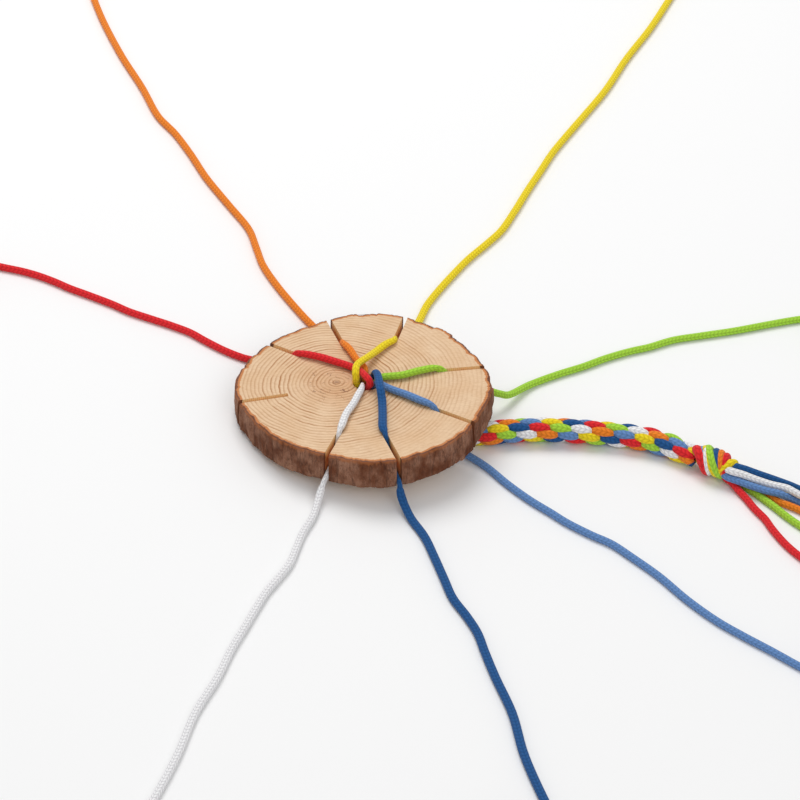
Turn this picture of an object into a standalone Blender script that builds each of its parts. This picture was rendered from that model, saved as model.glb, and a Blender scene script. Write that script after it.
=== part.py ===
"""A round wooden disc for plaiting cords, with work in progress on it.

A slice of a branch, bark and all, has a hole in its middle and eight saw slots in its rim.
Seven cotton cords come up through the hole, lie over the top and are pinched in seven slots.
The round braid that they make goes down the hole, bends under the disc and ends in a knot.

All lengths below are in millimetres and all angles in degrees. The model itself is in metres.
The disc frame has its origin at the hole, on the underside, with +Z through the top face.
The world frame has the floor at z = 0, under the middle of the disc.
"""

import math

import bmesh
import bpy
from mathutils import Matrix, Vector

MM = 0.001

# Wooden slice
DISC_RADIUS = 50.4
DISC_THICKNESS = 13.0
DISC_MIDDLE = (-0.6, -3.1)  # middle of the slice, seen from the hole
OUTLINE_WAVES = ((2, 0.4, 0.0), (3, 0.9, 185.0), (4, 0.5, 15.0), (5, 0.5, 40.0), (8, 0.4, 30.0))
BARK_LUMPS = ((29, 0.28), (41, 0.22))
BARK_BULGE = 0.3
RIM_ROUNDING = 0.8
RIM_STEPS = 120
HOLE_RADIUS = 5.6
HOLE_FLARE = 0.4
KERF = 2.1
SAW_OVERRUN = 10.0  # how far a cut runs past the outline circle
SAW_CLEARANCE = 2.0
TILT = 6.0  # the braid under the disc lifts one side of it
TILT_HEADING = -17.0

# Saw slots: bearing of the inner end from the hole, its distance, and heading of the cut
SLOTS = {
    "orange": (111.4, 26.5, 109.1),
    "yellow": (67.9, 29.3, 75.6),
    "green": (14.3, 29.5, 7.9),
    "light_blue": (-34.3, 31.6, -31.5),
    "dark_blue": (-78.8, 33.6, -71.2),
    "white": (-106.9, 32.6, -109.0),
    "spare": (-164.1, 32.7, -166.1),
    "red": (147.1, 32.5, 147.2),
}

# Cords
GAP = 0.3
CORD_DIAMETER = 3.0
CORD_RADIUS = CORD_DIAMETER / 2
PINCHED_RADIUS = KERF / 2 - GAP
WORKING_LENGTH = 550.0  # of each cord, from the hole to its bare end
COIL_RADIUS = 18.0  # middle of a coil's outer turn
COIL_STEPS = 24
COIL_CORNER = 0.8
FULL_LAYER = 176.0  # the most cord that lies in one layer
TURN_PITCH = 3.1
CURVE_STEP = 0.4
LEAST_STEP = 0.8  # between kept points of a cord
MOST_SWELLING = 0.25  # of a cord's radius from one kept point to the next

# Each cord over the top face: x, y and height above that face in the disc frame, and radius
OVER_DISC = {
    "orange": (
        (-0.5, 3.8, -3.7, 1.25), (-0.5, 3.8, -2.2, 1.25), (-0.6, 4.0, -0.3, 1.25),
        (-0.7, 4.9, 1.2, 1.25), (-0.9, 6.7, 1.65, 1.3), (-4.4, 13.0, 1.8, 1.4),
        (-7.1, 19.6, 1.9, 1.5),
    ),
    "yellow": (
        (-3.8, -0.5, -3.7, 1.25), (-3.8, -0.5, -2.0, 1.25), (-4.2, -0.3, 0.6, 1.25),
        (-4.3, -1.7, 3.7, 1.3), (-4.4, -0.3, 5.4, 1.3), (-3.9, 3.3, 5.8, 1.3),
        (-2.1, 6.8, 5.2, 1.35), (0.1, 10.5, 4.3, 1.4), (3.9, 17.8, 2.3, 1.5),
        (7.7, 23.2, 1.9, 1.5),
    ),
    "green": (
        (3.8, 0.5, -3.7, 1.25), (3.8, 0.5, -2.2, 1.25), (4.0, 0.6, -0.3, 1.25),
        (4.9, 0.7, 1.2, 1.25), (6.7, 0.9, 1.65, 1.3), (14.2, 1.8, 1.9, 1.4),
        (21.2, 4.8, 1.9, 1.5),
    ),
    "light_blue": (
        (3.0, -2.3, -3.7, 1.25), (3.0, -2.3, -2.2, 1.25), (3.2, -2.4, -0.3, 1.25),
        (3.9, -2.9, 1.2, 1.25), (5.4, -4.1, 1.65, 1.3), (10.1, -7.8, 1.8, 1.35),
        (15.4, -11.1, 1.9, 1.5), (21.2, -15.1, 1.9, 1.5),
    ),
    "dark_blue": (
        (2.3, 3.0, -3.7, 1.25), (2.3, 3.0, -2.0, 1.25), (2.3, 3.5, 0.6, 1.25),
        (3.1, 2.3, 3.0, 1.25), (4.1, -1.2, 4.4, 1.3), (4.7, -4.9, 5.0, 1.3),
        (5.2, -8.7, 5.1, 1.35), (5.7, -12.8, 4.9, 1.4), (6.2, -15.8, 2.9, 1.5),
        (6.4, -19.8, 1.9, 1.5), (6.3, -26.5, 1.9, 1.5),
    ),
    "white": (
        (-1.9, -3.2, -3.7, 1.0), (-1.9, -3.2, -2.2, 1.0), (-1.9, -3.5, -0.3, 0.95),
        (-1.7, -4.6, 1.1, 0.95), (-2.0, -7.0, 1.6, 1.15), (-3.6, -12.3, 1.75, 1.4),
        (-5.2, -17.5, 1.85, 1.5), (-8.0, -24.5, 1.9, 1.5),
    ),
    "red": (
        (0.5, -3.8, -3.7, 1.25), (0.5, -3.8, -2.0, 1.25), (0.7, -3.8, 0.4, 1.25),
        (1.6, -5.4, 2.9, 1.3), (0.7, -4.2, 4.3, 1.3), (-0.7, -2.1, 4.6, 1.3),
        (-2.1, 1.4, 3.6, 1.3), (-3.8, 4.9, 2.3, 1.35), (-6.2, 7.5, 1.8, 1.35),
        (-9.2, 9.4, 1.8, 1.4), (-12.1, 10.7, 1.9, 1.5), (-19.2, 14.3, 1.9, 1.5),
    ),
}

# This cord drops through its slot and comes out under the disc: distance along the slot, and height
STRAIGHT_DOWN = "light_blue"
DROP = ((1.5, -0.9), (2.5, -4.2), (3.5, -9.0), (5.0, -14.5))

# Each cord on the floor, in the world frame: x, y and the height of its middle
ON_FLOOR = {
    "orange": (
        (-17.1, 51.8, 3.2), (-19.6, 56.3, 2.0), (-23.6, 62.5, 1.6), (-28.8, 71.0, 1.5),
        (-37.0, 85.5, 1.5), (-43.2, 99.0, 1.5), (-46.3, 110.7, 1.5), (-50.0, 124.0, 1.5),
        (-59.4, 141.0, 1.5), (-69.8, 159.8, 1.5), (-77.5, 177.0, 1.5), (-85.0, 191.8, 1.5),
        (-93.0, 204.0, 1.5), (-101.5, 226.0, 1.5), (-112.0, 250.0, 1.5),
        (-122.0, 277.0, 1.5), (-128.0, 297.0, 1.5), (-131.5, 311.0, 1.5),
    ),
    "yellow": (
        (18.3, 52.5, 5.6), (20.8, 59.0, 3.2), (23.7, 69.0, 1.7), (26.8, 79.7, 1.5),
        (31.6, 90.5, 1.5), (38.5, 104.0, 1.5), (44.8, 115.3, 1.5), (53.3, 128.2, 1.5),
        (59.5, 138.4, 1.5), (65.7, 153.7, 1.5), (71.8, 170.4, 1.5), (77.9, 186.0, 1.5),
        (84.1, 202.0, 1.5), (91.1, 216.9, 1.5), (98.5, 232.0, 1.5), (110.0, 256.0, 1.5),
        (121.0, 284.0, 1.5), (134.0, 313.0, 1.5), (144.4, 339.8, 1.5), (149.5, 353.0, 1.5),
    ),
    "green": (
        (52.9, 13.6, 9.6), (56.0, 15.6, 7.4), (59.5, 18.6, 4.8), (69.4, 30.6, 1.8),
        (80.7, 39.0, 1.5), (92.1, 46.1, 1.5), (101.7, 52.9, 1.5), (112.4, 59.2, 1.5),
        (120.3, 63.0, 1.5), (131.1, 69.4, 1.5), (142.6, 73.8, 1.5), (157.8, 79.4, 1.5),
        (174.6, 86.6, 1.5), (186.6, 91.4, 1.5), (199.0, 95.0, 1.5),
    ),
    "light_blue": (
        (36.0, -16.5, 4.0), (42.0, -18.7, 2.2), (49.7, -24.4, 1.5), (59.0, -35.2, 1.5),
        (67.5, -43.8, 1.5), (75.4, -50.4, 1.5), (81.8, -55.9, 1.5), (91.2, -62.2, 1.5),
        (99.2, -66.8, 1.5), (106.9, -73.9, 1.5), (116.9, -83.9, 1.5), (127.8, -98.0, 1.5),
        (138.7, -110.6, 1.5), (147.9, -118.2, 1.5), (158.2, -124.4, 1.5),
        (168.1, -130.7, 1.5), (179.5, -138.0, 1.5),
    ),
    "dark_blue": (
        (15.4, -52.6, 6.6), (17.4, -56.2, 3.6), (20.0, -61.1, 1.8), (25.2, -71.0, 1.5),
        (28.8, -82.0, 1.5), (32.6, -94.8, 1.5), (36.1, -106.3, 1.5), (41.4, -116.3, 1.5),
        (45.3, -125.2, 1.5), (47.8, -135.2, 1.5), (51.6, -149.0, 1.5), (57.5, -168.0, 1.5),
        (61.5, -190.0, 1.5), (68.1, -212.4, 1.5), (73.0, -226.0, 1.5),
    ),
    "white": (
        (-16.0, -51.8, 4.4), (-16.9, -56.0, 2.6), (-18.5, -64.0, 1.6), (-22.3, -74.6, 1.5),
        (-24.8, -84.7, 1.5), (-27.0, -93.4, 1.5), (-31.1, -102.3, 1.5), (-35.5, -111.1, 1.5),
        (-39.1, -120.9, 1.5), (-43.3, -132.9, 1.5), (-47.5, -144.8, 1.5), (-52.0, -160.5, 1.5),
        (-59.5, -181.0, 1.5), (-65.0, -204.0, 1.5), (-72.2, -227.0, 1.5), (-77.5, -241.0, 1.5),
    ),
    "red": (
        (-43.0, 31.4, 1.7), (-49.5, 33.6, 1.5), (-56.7, 37.1, 1.5), (-65.1, 42.7, 1.5),
        (-71.7, 47.6, 1.5), (-79.4, 51.3, 1.5), (-89.2, 55.2, 1.5), (-97.6, 58.6, 1.5),
        (-105.0, 62.8, 1.5), (-115.4, 67.8, 1.5), (-123.3, 71.4, 1.5), (-129.3, 74.8, 1.5),
        (-136.0, 78.0, 1.5), (-143.0, 80.4, 1.5), (-153.7, 82.7, 1.5), (-165.5, 86.0, 1.5),
    ),
}
COIL_SIDE = {"orange": -1, "yellow": 1, "green": -1, "light_blue": 1, "dark_blue": -1, "white": 1, "red": 1}
FLOOR_SPACING = 8.5
MOST_TURNING = 14.0

# Braid and knot
BRAID_RADIUS = 5.15
BRAID_IN_HOLE = 4.95
BRAID_TOP = 9.0  # height of its upper end in the hole, above the underside
UNDER_DISC_GAP = 0.4
BRAID_SPREAD = 0.6  # how much wider it gets where the disc presses it flat
BEND_ROUNDNESS = 2.6
HOLE_STEPS = 5
BEND_STEPS = 7
FLOOR_CLEARANCE = 0.05
CELL_LENGTH = 8.75
CELL_DEPTH = 0.55
CELL_REACH = (0.55, 0.62)  # half a cell against its length and against the spacing of the rows
CELL_ROWS = 8
ROW_SHIFT = -0.375
ROW_START = 0.736
BRAID_STEPS = 24
BRAID_ROUTE = (
    (24.0, -2.9), (47.2, -8.5), (53.7, -6.9), (67.0, -3.9), (81.2, -2.3), (95.0, -2.0),
    (109.5, -2.8), (115.8, -3.7), (124.1, -6.6), (130.5, -10.2), (134.6, -12.5),
)
KNOT_MIDDLE = (142.0, -16.6)
KNOT_HEADING = -24.0
KNOT_LENGTH = 15.0
KNOT_RADIUS = 6.6
KNOT_END_RADIUS = 5.2
KNOT_WRAPS = 4
KNOT_RING_STEPS = 11
KNOT_STEPS = 24
WRAP_DEPTH = 0.45
TAIL_GAP = 0.5

# Loose ends past the knot: distance along its heading, distance to the left, and height
TAILS = {
    "dark_blue": ((0.0, 0.0, 8.9), (1.5, 0.1, 8.9), (5.0, 1.0, 8.1), (10.3, 2.1, 6.8),
                  (17.0, 4.3, 5.0), (23.0, 6.3, 3.3), (29.0, 8.2, 1.5), (45.0, 12.5, 1.5),
                  (67.0, 15.5, 1.5)),
    "white": ((0.0, -3.3, 7.95), (1.5, -3.3, 7.95), (5.0, -2.45, 7.4), (10.0, -1.4, 6.4),
              (17.0, 0.2, 5.25), (21.5, 0.8, 5.5), (24.0, 0.9, 5.6), (26.0, 0.6, 5.4),
              (30.0, 0.2, 5.0), (35.0, 1.3, 3.9), (40.0, 1.6, 2.2), (46.0, 1.6, 1.5),
              (63.0, 1.2, 1.5)),
    "yellow": ((0.0, 2.1, 6.2), (1.5, 2.2, 6.1), (5.0, 3.35, 5.0), (7.5, 3.85, 4.2),
               (10.0, 3.8, 3.2), (17.0, 2.6, 1.5), (23.0, 3.3, 1.5), (29.0, 3.5, 1.5),
               (40.0, 5.4, 1.5), (60.0, 7.0, 1.5)),
    "light_blue": ((0.0, -4.6, 4.9), (1.5, -4.6, 4.9), (5.0, -4.6, 4.85), (10.0, -4.25, 4.8),
                   (17.0, -3.8, 4.85), (21.5, -2.4, 4.0), (26.0, -0.4, 2.0), (30.0, -0.1, 1.5),
                   (40.0, -2.2, 1.5), (66.0, -4.6, 1.5)),
    "orange": ((0.0, -1.2, 5.5), (1.5, -1.1, 5.5), (5.0, 0.0, 4.8), (7.5, 0.45, 3.8),
               (10.0, 0.3, 2.6), (13.0, -0.6, 1.6), (17.0, -2.7, 1.5), (21.5, -4.6, 1.5),
               (26.0, -4.1, 1.5), (30.0, -4.2, 1.5), (40.0, -6.2, 1.5), (70.0, -12.0, 1.5)),
    "green": ((0.0, 0.9, 2.7), (1.5, 0.85, 2.6), (3.5, 0.0, 1.9), (5.0, -1.0, 1.5),
              (9.6, -2.9, 1.5), (13.0, -4.45, 1.5), (17.0, -6.6, 1.5), (21.6, -8.8, 1.5), (30.1, -12.3, 1.5),
              (41.0, -15.5, 1.5), (62.0, -20.5, 1.5)),
    "red": ((0.0, -2.5, 1.9), (1.5, -3.2, 1.6), (3.5, -5.6, 1.5), (5.5, -7.6, 1.5),
            (9.8, -9.7, 1.5), (15.4, -13.2, 1.5), (21.1, -17.0, 1.5), (26.2, -21.8, 1.5),
            (36.0, -29.0, 1.5), (52.0, -36.0, 1.5), (68.0, -40.0, 1.5)),
}

WOOD = ((0.78, 0.58, 0.40), 0.6)
CORD_COLOURS = {
    "orange": (0.91, 0.23, 0.02),
    "yellow": (0.86, 0.60, 0.02),
    "green": (0.26, 0.56, 0.03),
    "light_blue": (0.11, 0.24, 0.56),
    "dark_blue": (0.02, 0.08, 0.25),
    "white": (0.79, 0.78, 0.82),
    "red": (0.70, 0.02, 0.03),
}
COTTON_ROUGHNESS = 0.85


def clear_scene():
    for thing in list(bpy.data.objects):
        bpy.data.objects.remove(thing, do_unlink=True)


def new_collection(name):
    collection = bpy.data.collections.new(name)
    bpy.context.scene.collection.children.link(collection)
    return collection


def make_material(name, colour, roughness):
    material = bpy.data.materials.new(name)
    material.use_nodes = True
    shader = material.node_tree.nodes["Principled BSDF"]
    shader.inputs["Base Color"].default_value = (*colour, 1.0)
    shader.inputs["Roughness"].default_value = roughness
    shader.inputs["Metallic"].default_value = 0.0
    return material


def unit(degrees):
    return Vector((math.cos(math.radians(degrees)), math.sin(math.radians(degrees)), 0.0))


def object_from(work, name, collection, material=None):
    """Turn a bmesh in millimetres into an object in metres."""
    bmesh.ops.scale(work, vec=(MM, MM, MM), verts=work.verts)
    mesh = bpy.data.meshes.new(name)
    work.to_mesh(mesh)
    work.free()
    thing = bpy.data.objects.new(name, mesh)
    if material:
        mesh.materials.append(material)
    collection.objects.link(thing)
    return thing


def cutter_from(work, name, collection):
    cutter = object_from(work, name, collection)
    cutter.hide_render = True
    cutter.display_type = "WIRE"
    return cutter


# Wooden slice


def outline_radius(bearing):
    """Radius of the slice at a bearing in radians, from the middle of the slice."""
    radius = DISC_RADIUS
    for waves, height, turn in OUTLINE_WAVES:
        radius += height * math.cos(waves * bearing - math.radians(turn))
    return radius


def bark_relief(bearing, height):
    """How far the bark stands out from the outline at a height above the underside."""
    across = 2 * height / DISC_THICKNESS - 1
    relief = BARK_BULGE * (1 - across * across)
    for count, depth in BARK_LUMPS:
        relief += depth * math.sin(count * bearing + 2.0 * across)
    return relief


def disc_solid():
    """The slice as a bmesh in its own frame: a cylinder drawn out to its outline, with loops for the bark."""
    work = bmesh.new()
    bmesh.ops.create_cone(
        work, cap_ends=True, segments=RIM_STEPS, radius1=1.0, radius2=1.0, depth=DISC_THICKNESS
    )
    uprights = [edge for edge in work.edges if abs(edge.verts[0].co.z - edge.verts[1].co.z) > 1.0]
    bmesh.ops.subdivide_edges(work, edges=uprights, cuts=3)
    half = DISC_THICKNESS / 2
    for vert in work.verts:
        bearing = math.atan2(vert.co.y, vert.co.x)
        height = vert.co.z + half
        at_edge = abs(vert.co.z) > half - 0.01
        radius = outline_radius(bearing) + bark_relief(bearing, height)
        if at_edge:
            radius -= RIM_ROUNDING / 2
        vert.co = (
            DISC_MIDDLE[0] + radius * math.cos(bearing),
            DISC_MIDDLE[1] + radius * math.sin(bearing),
            height,
        )
    rims = [
        edge for edge in work.edges
        if not edge.is_boundary and abs(edge.verts[0].co.z - edge.verts[1].co.z) < 0.01
        and any(len(face.verts) > 4 for face in edge.link_faces)
    ]
    bmesh.ops.bevel(
        work, geom=rims, affect="EDGES", offset=RIM_ROUNDING, offset_type="OFFSET",
        segments=1, profile=0.5, material=-1,
    )
    return work


def rim_distance(slot):
    """Distance along a slot from its inner end to the outline circle."""
    bearing, reach, heading = SLOTS[slot]
    start = unit(bearing) * reach - Vector((*DISC_MIDDLE, 0.0))
    along = start.dot(unit(heading))
    return -along + math.sqrt(along * along - start.length_squared + DISC_RADIUS ** 2)


def slot_cutter(slot, collection):
    bearing, reach, heading = SLOTS[slot]
    length = rim_distance(slot) + SAW_OVERRUN
    work = bmesh.new()
    bmesh.ops.create_cube(work, size=1.0)
    bmesh.ops.scale(work, vec=(length, KERF, DISC_THICKNESS + 2 * SAW_CLEARANCE), verts=work.verts)
    middle = unit(bearing) * reach + unit(heading) * length / 2
    place = Matrix.Translation((middle.x, middle.y, DISC_THICKNESS / 2))
    place = place @ Matrix.Rotation(math.radians(heading), 4, "Z")
    bmesh.ops.transform(work, matrix=place, verts=work.verts)
    return cutter_from(work, "slot_cut_" + slot, collection)


def hole_cutter(collection):
    """A turned cutter that flares at both faces."""
    outer = HOLE_RADIUS + HOLE_FLARE
    beyond = SAW_CLEARANCE
    profile = (
        (0.0, DISC_THICKNESS + beyond), (outer + beyond, DISC_THICKNESS + beyond),
        (HOLE_RADIUS, DISC_THICKNESS - HOLE_FLARE), (HOLE_RADIUS, HOLE_FLARE),
        (outer + beyond, -beyond), (0.0, -beyond),
    )
    work = bmesh.new()
    verts = [work.verts.new((radius, 0.0, height)) for radius, height in profile]
    edges = [work.edges.new(pair) for pair in zip(verts, verts[1:])]
    bmesh.ops.spin(
        work, geom=verts + edges, cent=(0, 0, 0), axis=(0, 0, 1), dvec=(0, 0, 0),
        angle=math.tau, steps=32, use_merge=True, use_duplicate=False,
    )
    bmesh.ops.remove_doubles(work, verts=work.verts, dist=0.001)
    bmesh.ops.recalc_face_normals(work, faces=work.faces)
    return cutter_from(work, "hole_cut", collection)


def standing_place(work):
    """The matrix, in millimetres, that tilts the slice and stands its lowest point on the floor."""
    lean_axis = unit(TILT_HEADING).cross(Vector((0, 0, 1)))
    lean = Matrix.Rotation(math.radians(TILT), 4, lean_axis)
    corners = [lean @ vert.co for vert in work.verts]
    middle_x = (min(c.x for c in corners) + max(c.x for c in corners)) / 2
    middle_y = (min(c.y for c in corners) + max(c.y for c in corners)) / 2
    lowest = min(c.z for c in corners)
    return Matrix.Translation((-middle_x, -middle_y, -lowest)) @ lean


def make_disc(parts, cutters):
    """The slice with its hole and slots. Returns its place, which the cords follow."""
    work = disc_solid()
    place = standing_place(work)
    disc = object_from(work, "wood_disc", parts, make_material("branch wood", *WOOD))
    tools = [hole_cutter(cutters)] + [slot_cutter(slot, cutters) for slot in SLOTS]
    stand = place.copy()
    stand.translation = place.translation * MM
    disc.matrix_world = stand
    for tool in tools:
        tool.matrix_world = stand
        cut = disc.modifiers.new(tool.name, "BOOLEAN")
        cut.operation = "DIFFERENCE"
        cut.object = tool
        cut.solver = "EXACT"
    return place


# Cords


def smooth_curve(points):
    """Closely spaced points on a smooth curve through the given ones, never sunk into the floor."""
    first = [2 * a - b for a, b in zip(points[0], points[1])]
    last = [2 * a - b for a, b in zip(points[-1], points[-2])]
    chain = [first, *points, last]
    curve = []
    for before, start, end, after in zip(chain, chain[1:], chain[2:], chain[3:]):
        spans = [math.sqrt(math.dist(a[:3], b[:3])) for a, b in ((before, start), (start, end), (end, after))]
        knots = [0.0, spans[0], spans[0] + spans[1], sum(spans)]
        pieces = max(2, int(math.dist(start[:3], end[:3]) / CURVE_STEP))
        for piece in range(pieces):
            t = knots[1] + (knots[2] - knots[1]) * piece / pieces
            curve.append(blend_points((before, start, end, after), knots, t))
    curve.append(list(points[-1]))
    return [[x, y, max(z, radius), radius] for x, y, z, radius in curve]


def mix(low, high, share):
    return [a + (b - a) * share for a, b in zip(low, high)]


def blend_points(points, knots, t):
    """One point of the smooth curve, by repeated blending between neighbours."""
    level = points
    for reach in (1, 2):
        pairs = enumerate(zip(level, level[1:]))
        level = [mix(a, b, (t - knots[i]) / (knots[i + reach] - knots[i])) for i, (a, b) in pairs]
    return mix(level[0], level[1], (t - knots[1]) / (knots[2] - knots[1]))


def spaced(curve):
    """The points of a curve that matter: one at each few degrees of turning, and never too far apart."""
    kept = [curve[0]]
    for here, ahead in zip(curve[1:], curve[2:]):
        into = Vector(here[:3]) - Vector(kept[-1][:3])
        onward = Vector(ahead[:3]) - Vector(here[:3])
        far = into.length > FLOOR_SPACING
        turned = into.length > LEAST_STEP and math.degrees(into.angle(onward)) > MOST_TURNING / 2
        swelled = abs(here[3] - kept[-1][3]) > MOST_SWELLING
        if far or turned or swelled:
            kept.append(here)
    kept.append(curve[-1])
    return kept


def slot_route(slot):
    """The cord down its slot and out of the mouth, in the disc frame, as heights above the top face."""
    bearing, reach, heading = SLOTS[slot]
    rim = rim_distance(slot)
    bottom = -DISC_THICKNESS
    steps = [(-2.2, 1.75, 1.25), (0.3, 1.1, PINCHED_RADIUS)]
    if slot == STRAIGHT_DOWN:
        steps += [(run, height, PINCHED_RADIUS) for run, height in DROP]
    else:
        steps += [(run, height, PINCHED_RADIUS) for run, height in (
            (1.9, -0.9), (4.0, -4.2), (8.5, bottom + 5.2), (rim - 3.5, bottom + 2.7),
            (rim + 0.8, bottom + 1.8),
        )]
    start = unit(bearing) * reach
    return [((*(start + unit(heading) * run).xy, height, radius)) for run, height, radius in steps]


def cord_route(slot, place):
    """The whole free run of a cord from the hole to the start of its coil, in world millimetres."""
    over = list(OVER_DISC[slot]) + slot_route(slot)
    route = []
    for x, y, height, radius in over:
        point = place @ Vector((x, y, DISC_THICKNESS + height))
        route.append((*point, radius))
    route += [(x, y, z, CORD_RADIUS) for x, y, z in ON_FLOOR[slot]]
    return smooth_curve(route)


def curve_tube(name, points, radius, parts, material):
    """A tube along the points, which are x, y, z and radius in millimetres."""
    data = bpy.data.curves.new(name, "CURVE")
    data.dimensions = "3D"
    data.bevel_depth = radius * MM
    data.bevel_resolution = 2
    data.use_fill_caps = True
    spline = data.splines.new("POLY")
    spline.points.add(len(points) - 1)
    for target, (x, y, z, here) in zip(spline.points, points):
        target.co = (x * MM, y * MM, z * MM, 1.0)
        target.radius = here / radius
    tube = bpy.data.objects.new(name, data)
    data.materials.append(material)
    parts.objects.link(tube)
    return tube


def run_length(points):
    return sum(math.dist(a[:3], b[:3]) for a, b in zip(points, points[1:]))


def make_coil(slot, route, parts, material):
    """The ring that the rest of a cord is wound in, where the cord reaches it at a tangent."""
    end = Vector(route[-1][:2])
    heading = (end - Vector(route[-4][:2])).normalized()
    side = Vector((-heading.y, heading.x)) * COIL_SIDE[slot]
    outside = COIL_RADIUS + CORD_RADIUS
    lead = math.sqrt((outside + GAP) ** 2 - (COIL_RADIUS - CORD_RADIUS) ** 2)
    middle = end + heading * lead + side * COIL_RADIUS
    rest = WORKING_LENGTH - run_length(route) - lead
    one_turn = math.tau * COIL_RADIUS
    columns = 1 if rest <= one_turn else 2
    layers = 1 if rest <= FULL_LAYER else 2
    inside = COIL_RADIUS - TURN_PITCH * (columns - 1) - CORD_RADIUS
    height = CORD_DIAMETER + TURN_PITCH * (layers - 1)
    corner = COIL_CORNER
    profile = (
        (inside, corner), (inside + corner, 0.0), (outside - corner, 0.0), (outside, corner),
        (outside, height - corner), (outside - corner, height), (inside + corner, height),
        (inside, height - corner),
    )
    work = bmesh.new()
    verts = [work.verts.new((middle.x + radius, middle.y, up)) for radius, up in profile]
    edges = [work.edges.new((verts[i - 1], verts[i])) for i in range(len(verts))]
    bmesh.ops.spin(
        work, geom=verts + edges, cent=(*middle, 0.0), axis=(0, 0, 1), dvec=(0, 0, 0),
        angle=math.tau, steps=COIL_STEPS, use_merge=True, use_duplicate=False,
    )
    bmesh.ops.recalc_face_normals(work, faces=work.faces)
    object_from(work, "coil_" + slot, parts, material)


def make_cords(parts, place, materials):
    for slot in OVER_DISC:
        route = cord_route(slot, place)
        curve_tube("cord_" + slot, spaced(route), CORD_RADIUS, parts, materials[slot])
        make_coil(slot, route, parts, materials[slot])


# Braid, knot and loose ends


def underside_height(place, x, y):
    """Height of the disc's underside over a point of the floor."""
    normal = (place.to_3x3() @ Vector((0, 0, 1))).normalized()
    at = place.translation
    return at.z - (normal.x * (x - at.x) + normal.y * (y - at.y)) / normal.z


def braid_sections(place):
    """The braid's sections from the hole to the knot: middle, axis up, axis sideways, half height, half width."""
    turn = place.to_3x3()
    normal = turn @ Vector((0, 0, 1))
    hole = place.translation
    heading = (Vector((*BRAID_ROUTE[0], 0.0)) - Vector((hole.x, hole.y, 0.0))).normalized()
    sideways = heading.cross(Vector((0, 0, 1))).normalized()
    in_plane = sideways.cross(normal).normalized()
    in_plane = in_plane if in_plane.dot(heading) > 0 else -in_plane
    sections = []
    for step in range(HOLE_STEPS):
        height = BRAID_TOP * (1 - step / HOLE_STEPS)
        sections.append((hole + normal * height, in_plane, sideways, BRAID_IN_HOLE, BRAID_IN_HOLE))
    pivot = hole + in_plane * BRAID_IN_HOLE - normal * UNDER_DISC_GAP
    first = math.atan2(in_plane.z, in_plane.dot(heading))
    drop = pivot.z - FLOOR_CLEARANCE
    width_below = BRAID_RADIUS + BRAID_SPREAD * (BRAID_RADIUS - drop / 2)
    for step in range(BEND_STEPS):
        share = step / BEND_STEPS
        lean = first + (math.pi / 2 - first) * share
        up = heading * math.cos(lean) + Vector((0, 0, 1)) * math.sin(lean)
        across = (math.cos(lean) / (2 * BRAID_IN_HOLE)) ** BEND_ROUNDNESS
        upright = (math.sin(lean) / drop) ** BEND_ROUNDNESS
        half = (across + upright) ** (-1 / BEND_ROUNDNESS) / 2
        width = BRAID_IN_HOLE + (width_below - BRAID_IN_HOLE) * share
        sections.append((pivot - up * half, up, sideways, half, width))
    plan = smooth_curve([(pivot.x, pivot.y, 0.0, 0.0)] + [(x, y, 0.0, 0.0) for x, y in BRAID_ROUTE])
    run = 0.0
    due = 0.0
    spacing = CELL_LENGTH / 4
    for here, ahead in zip(plan, plan[1:]):
        if run >= due:
            ahead_way = Vector((ahead[0] - here[0], ahead[1] - here[1], 0.0)).normalized()
            sections.append(floor_section(place, here, ahead_way))
            due += spacing
        run += math.dist(here[:2], ahead[:2])
    sections.append(floor_section(place, plan[-1], ahead_way))
    return sections


def floor_section(place, point, way):
    """One upright section of the braid on the floor, pressed flat where the disc lies on it."""
    x, y = point[:2]
    reach = math.hypot(x - place.translation.x, y - place.translation.y)
    room = underside_height(place, x, y) - UNDER_DISC_GAP - FLOOR_CLEARANCE
    covered = reach < DISC_RADIUS + CORD_DIAMETER
    half = min(BRAID_RADIUS, room / 2) if covered else BRAID_RADIUS
    width = BRAID_RADIUS + BRAID_SPREAD * (BRAID_RADIUS - half)
    middle = Vector((x, y, FLOOR_CLEARANCE + half))
    return middle, Vector((0, 0, 1)), way.cross(Vector((0, 0, 1))), half, width


def cell_relief(run, bearing):
    """Depth of the groove between the strands' cells, at a distance along the braid and a bearing round it."""
    best = 0.0
    row_step = math.tau / CELL_ROWS
    for row in range(CELL_ROWS):
        along = (run / CELL_LENGTH - ROW_SHIFT * row - ROW_START + 0.5) % 1.0 - 0.5
        across = (bearing - row * row_step + math.pi) % math.tau - math.pi
        cell = 1.0 - (along / CELL_REACH[0]) ** 2 - (across / (CELL_REACH[1] * row_step)) ** 2
        best = max(best, cell)
    return CELL_DEPTH * (1.0 - best)


def rolled_tube(name, rings, around, place_vertex, parts, material):
    """A flat grid rolled up into a closed tube. place_vertex gives the place of each ring's each step."""
    work = bmesh.new()
    bmesh.ops.create_grid(work, x_segments=rings - 1, y_segments=around, size=1.0)
    for vert in work.verts:
        ring = round((vert.co.x + 1) / 2 * (rings - 1))
        step = round((vert.co.y + 1) / 2 * around) % around
        vert.co = place_vertex(ring, step)
    bmesh.ops.remove_doubles(work, verts=work.verts, dist=0.0001)
    bmesh.ops.holes_fill(work, edges=work.edges, sides=0)
    bmesh.ops.recalc_face_normals(work, faces=work.faces)
    thing = object_from(work, name, parts, material)
    thing.data.shade_smooth()
    return thing


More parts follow.
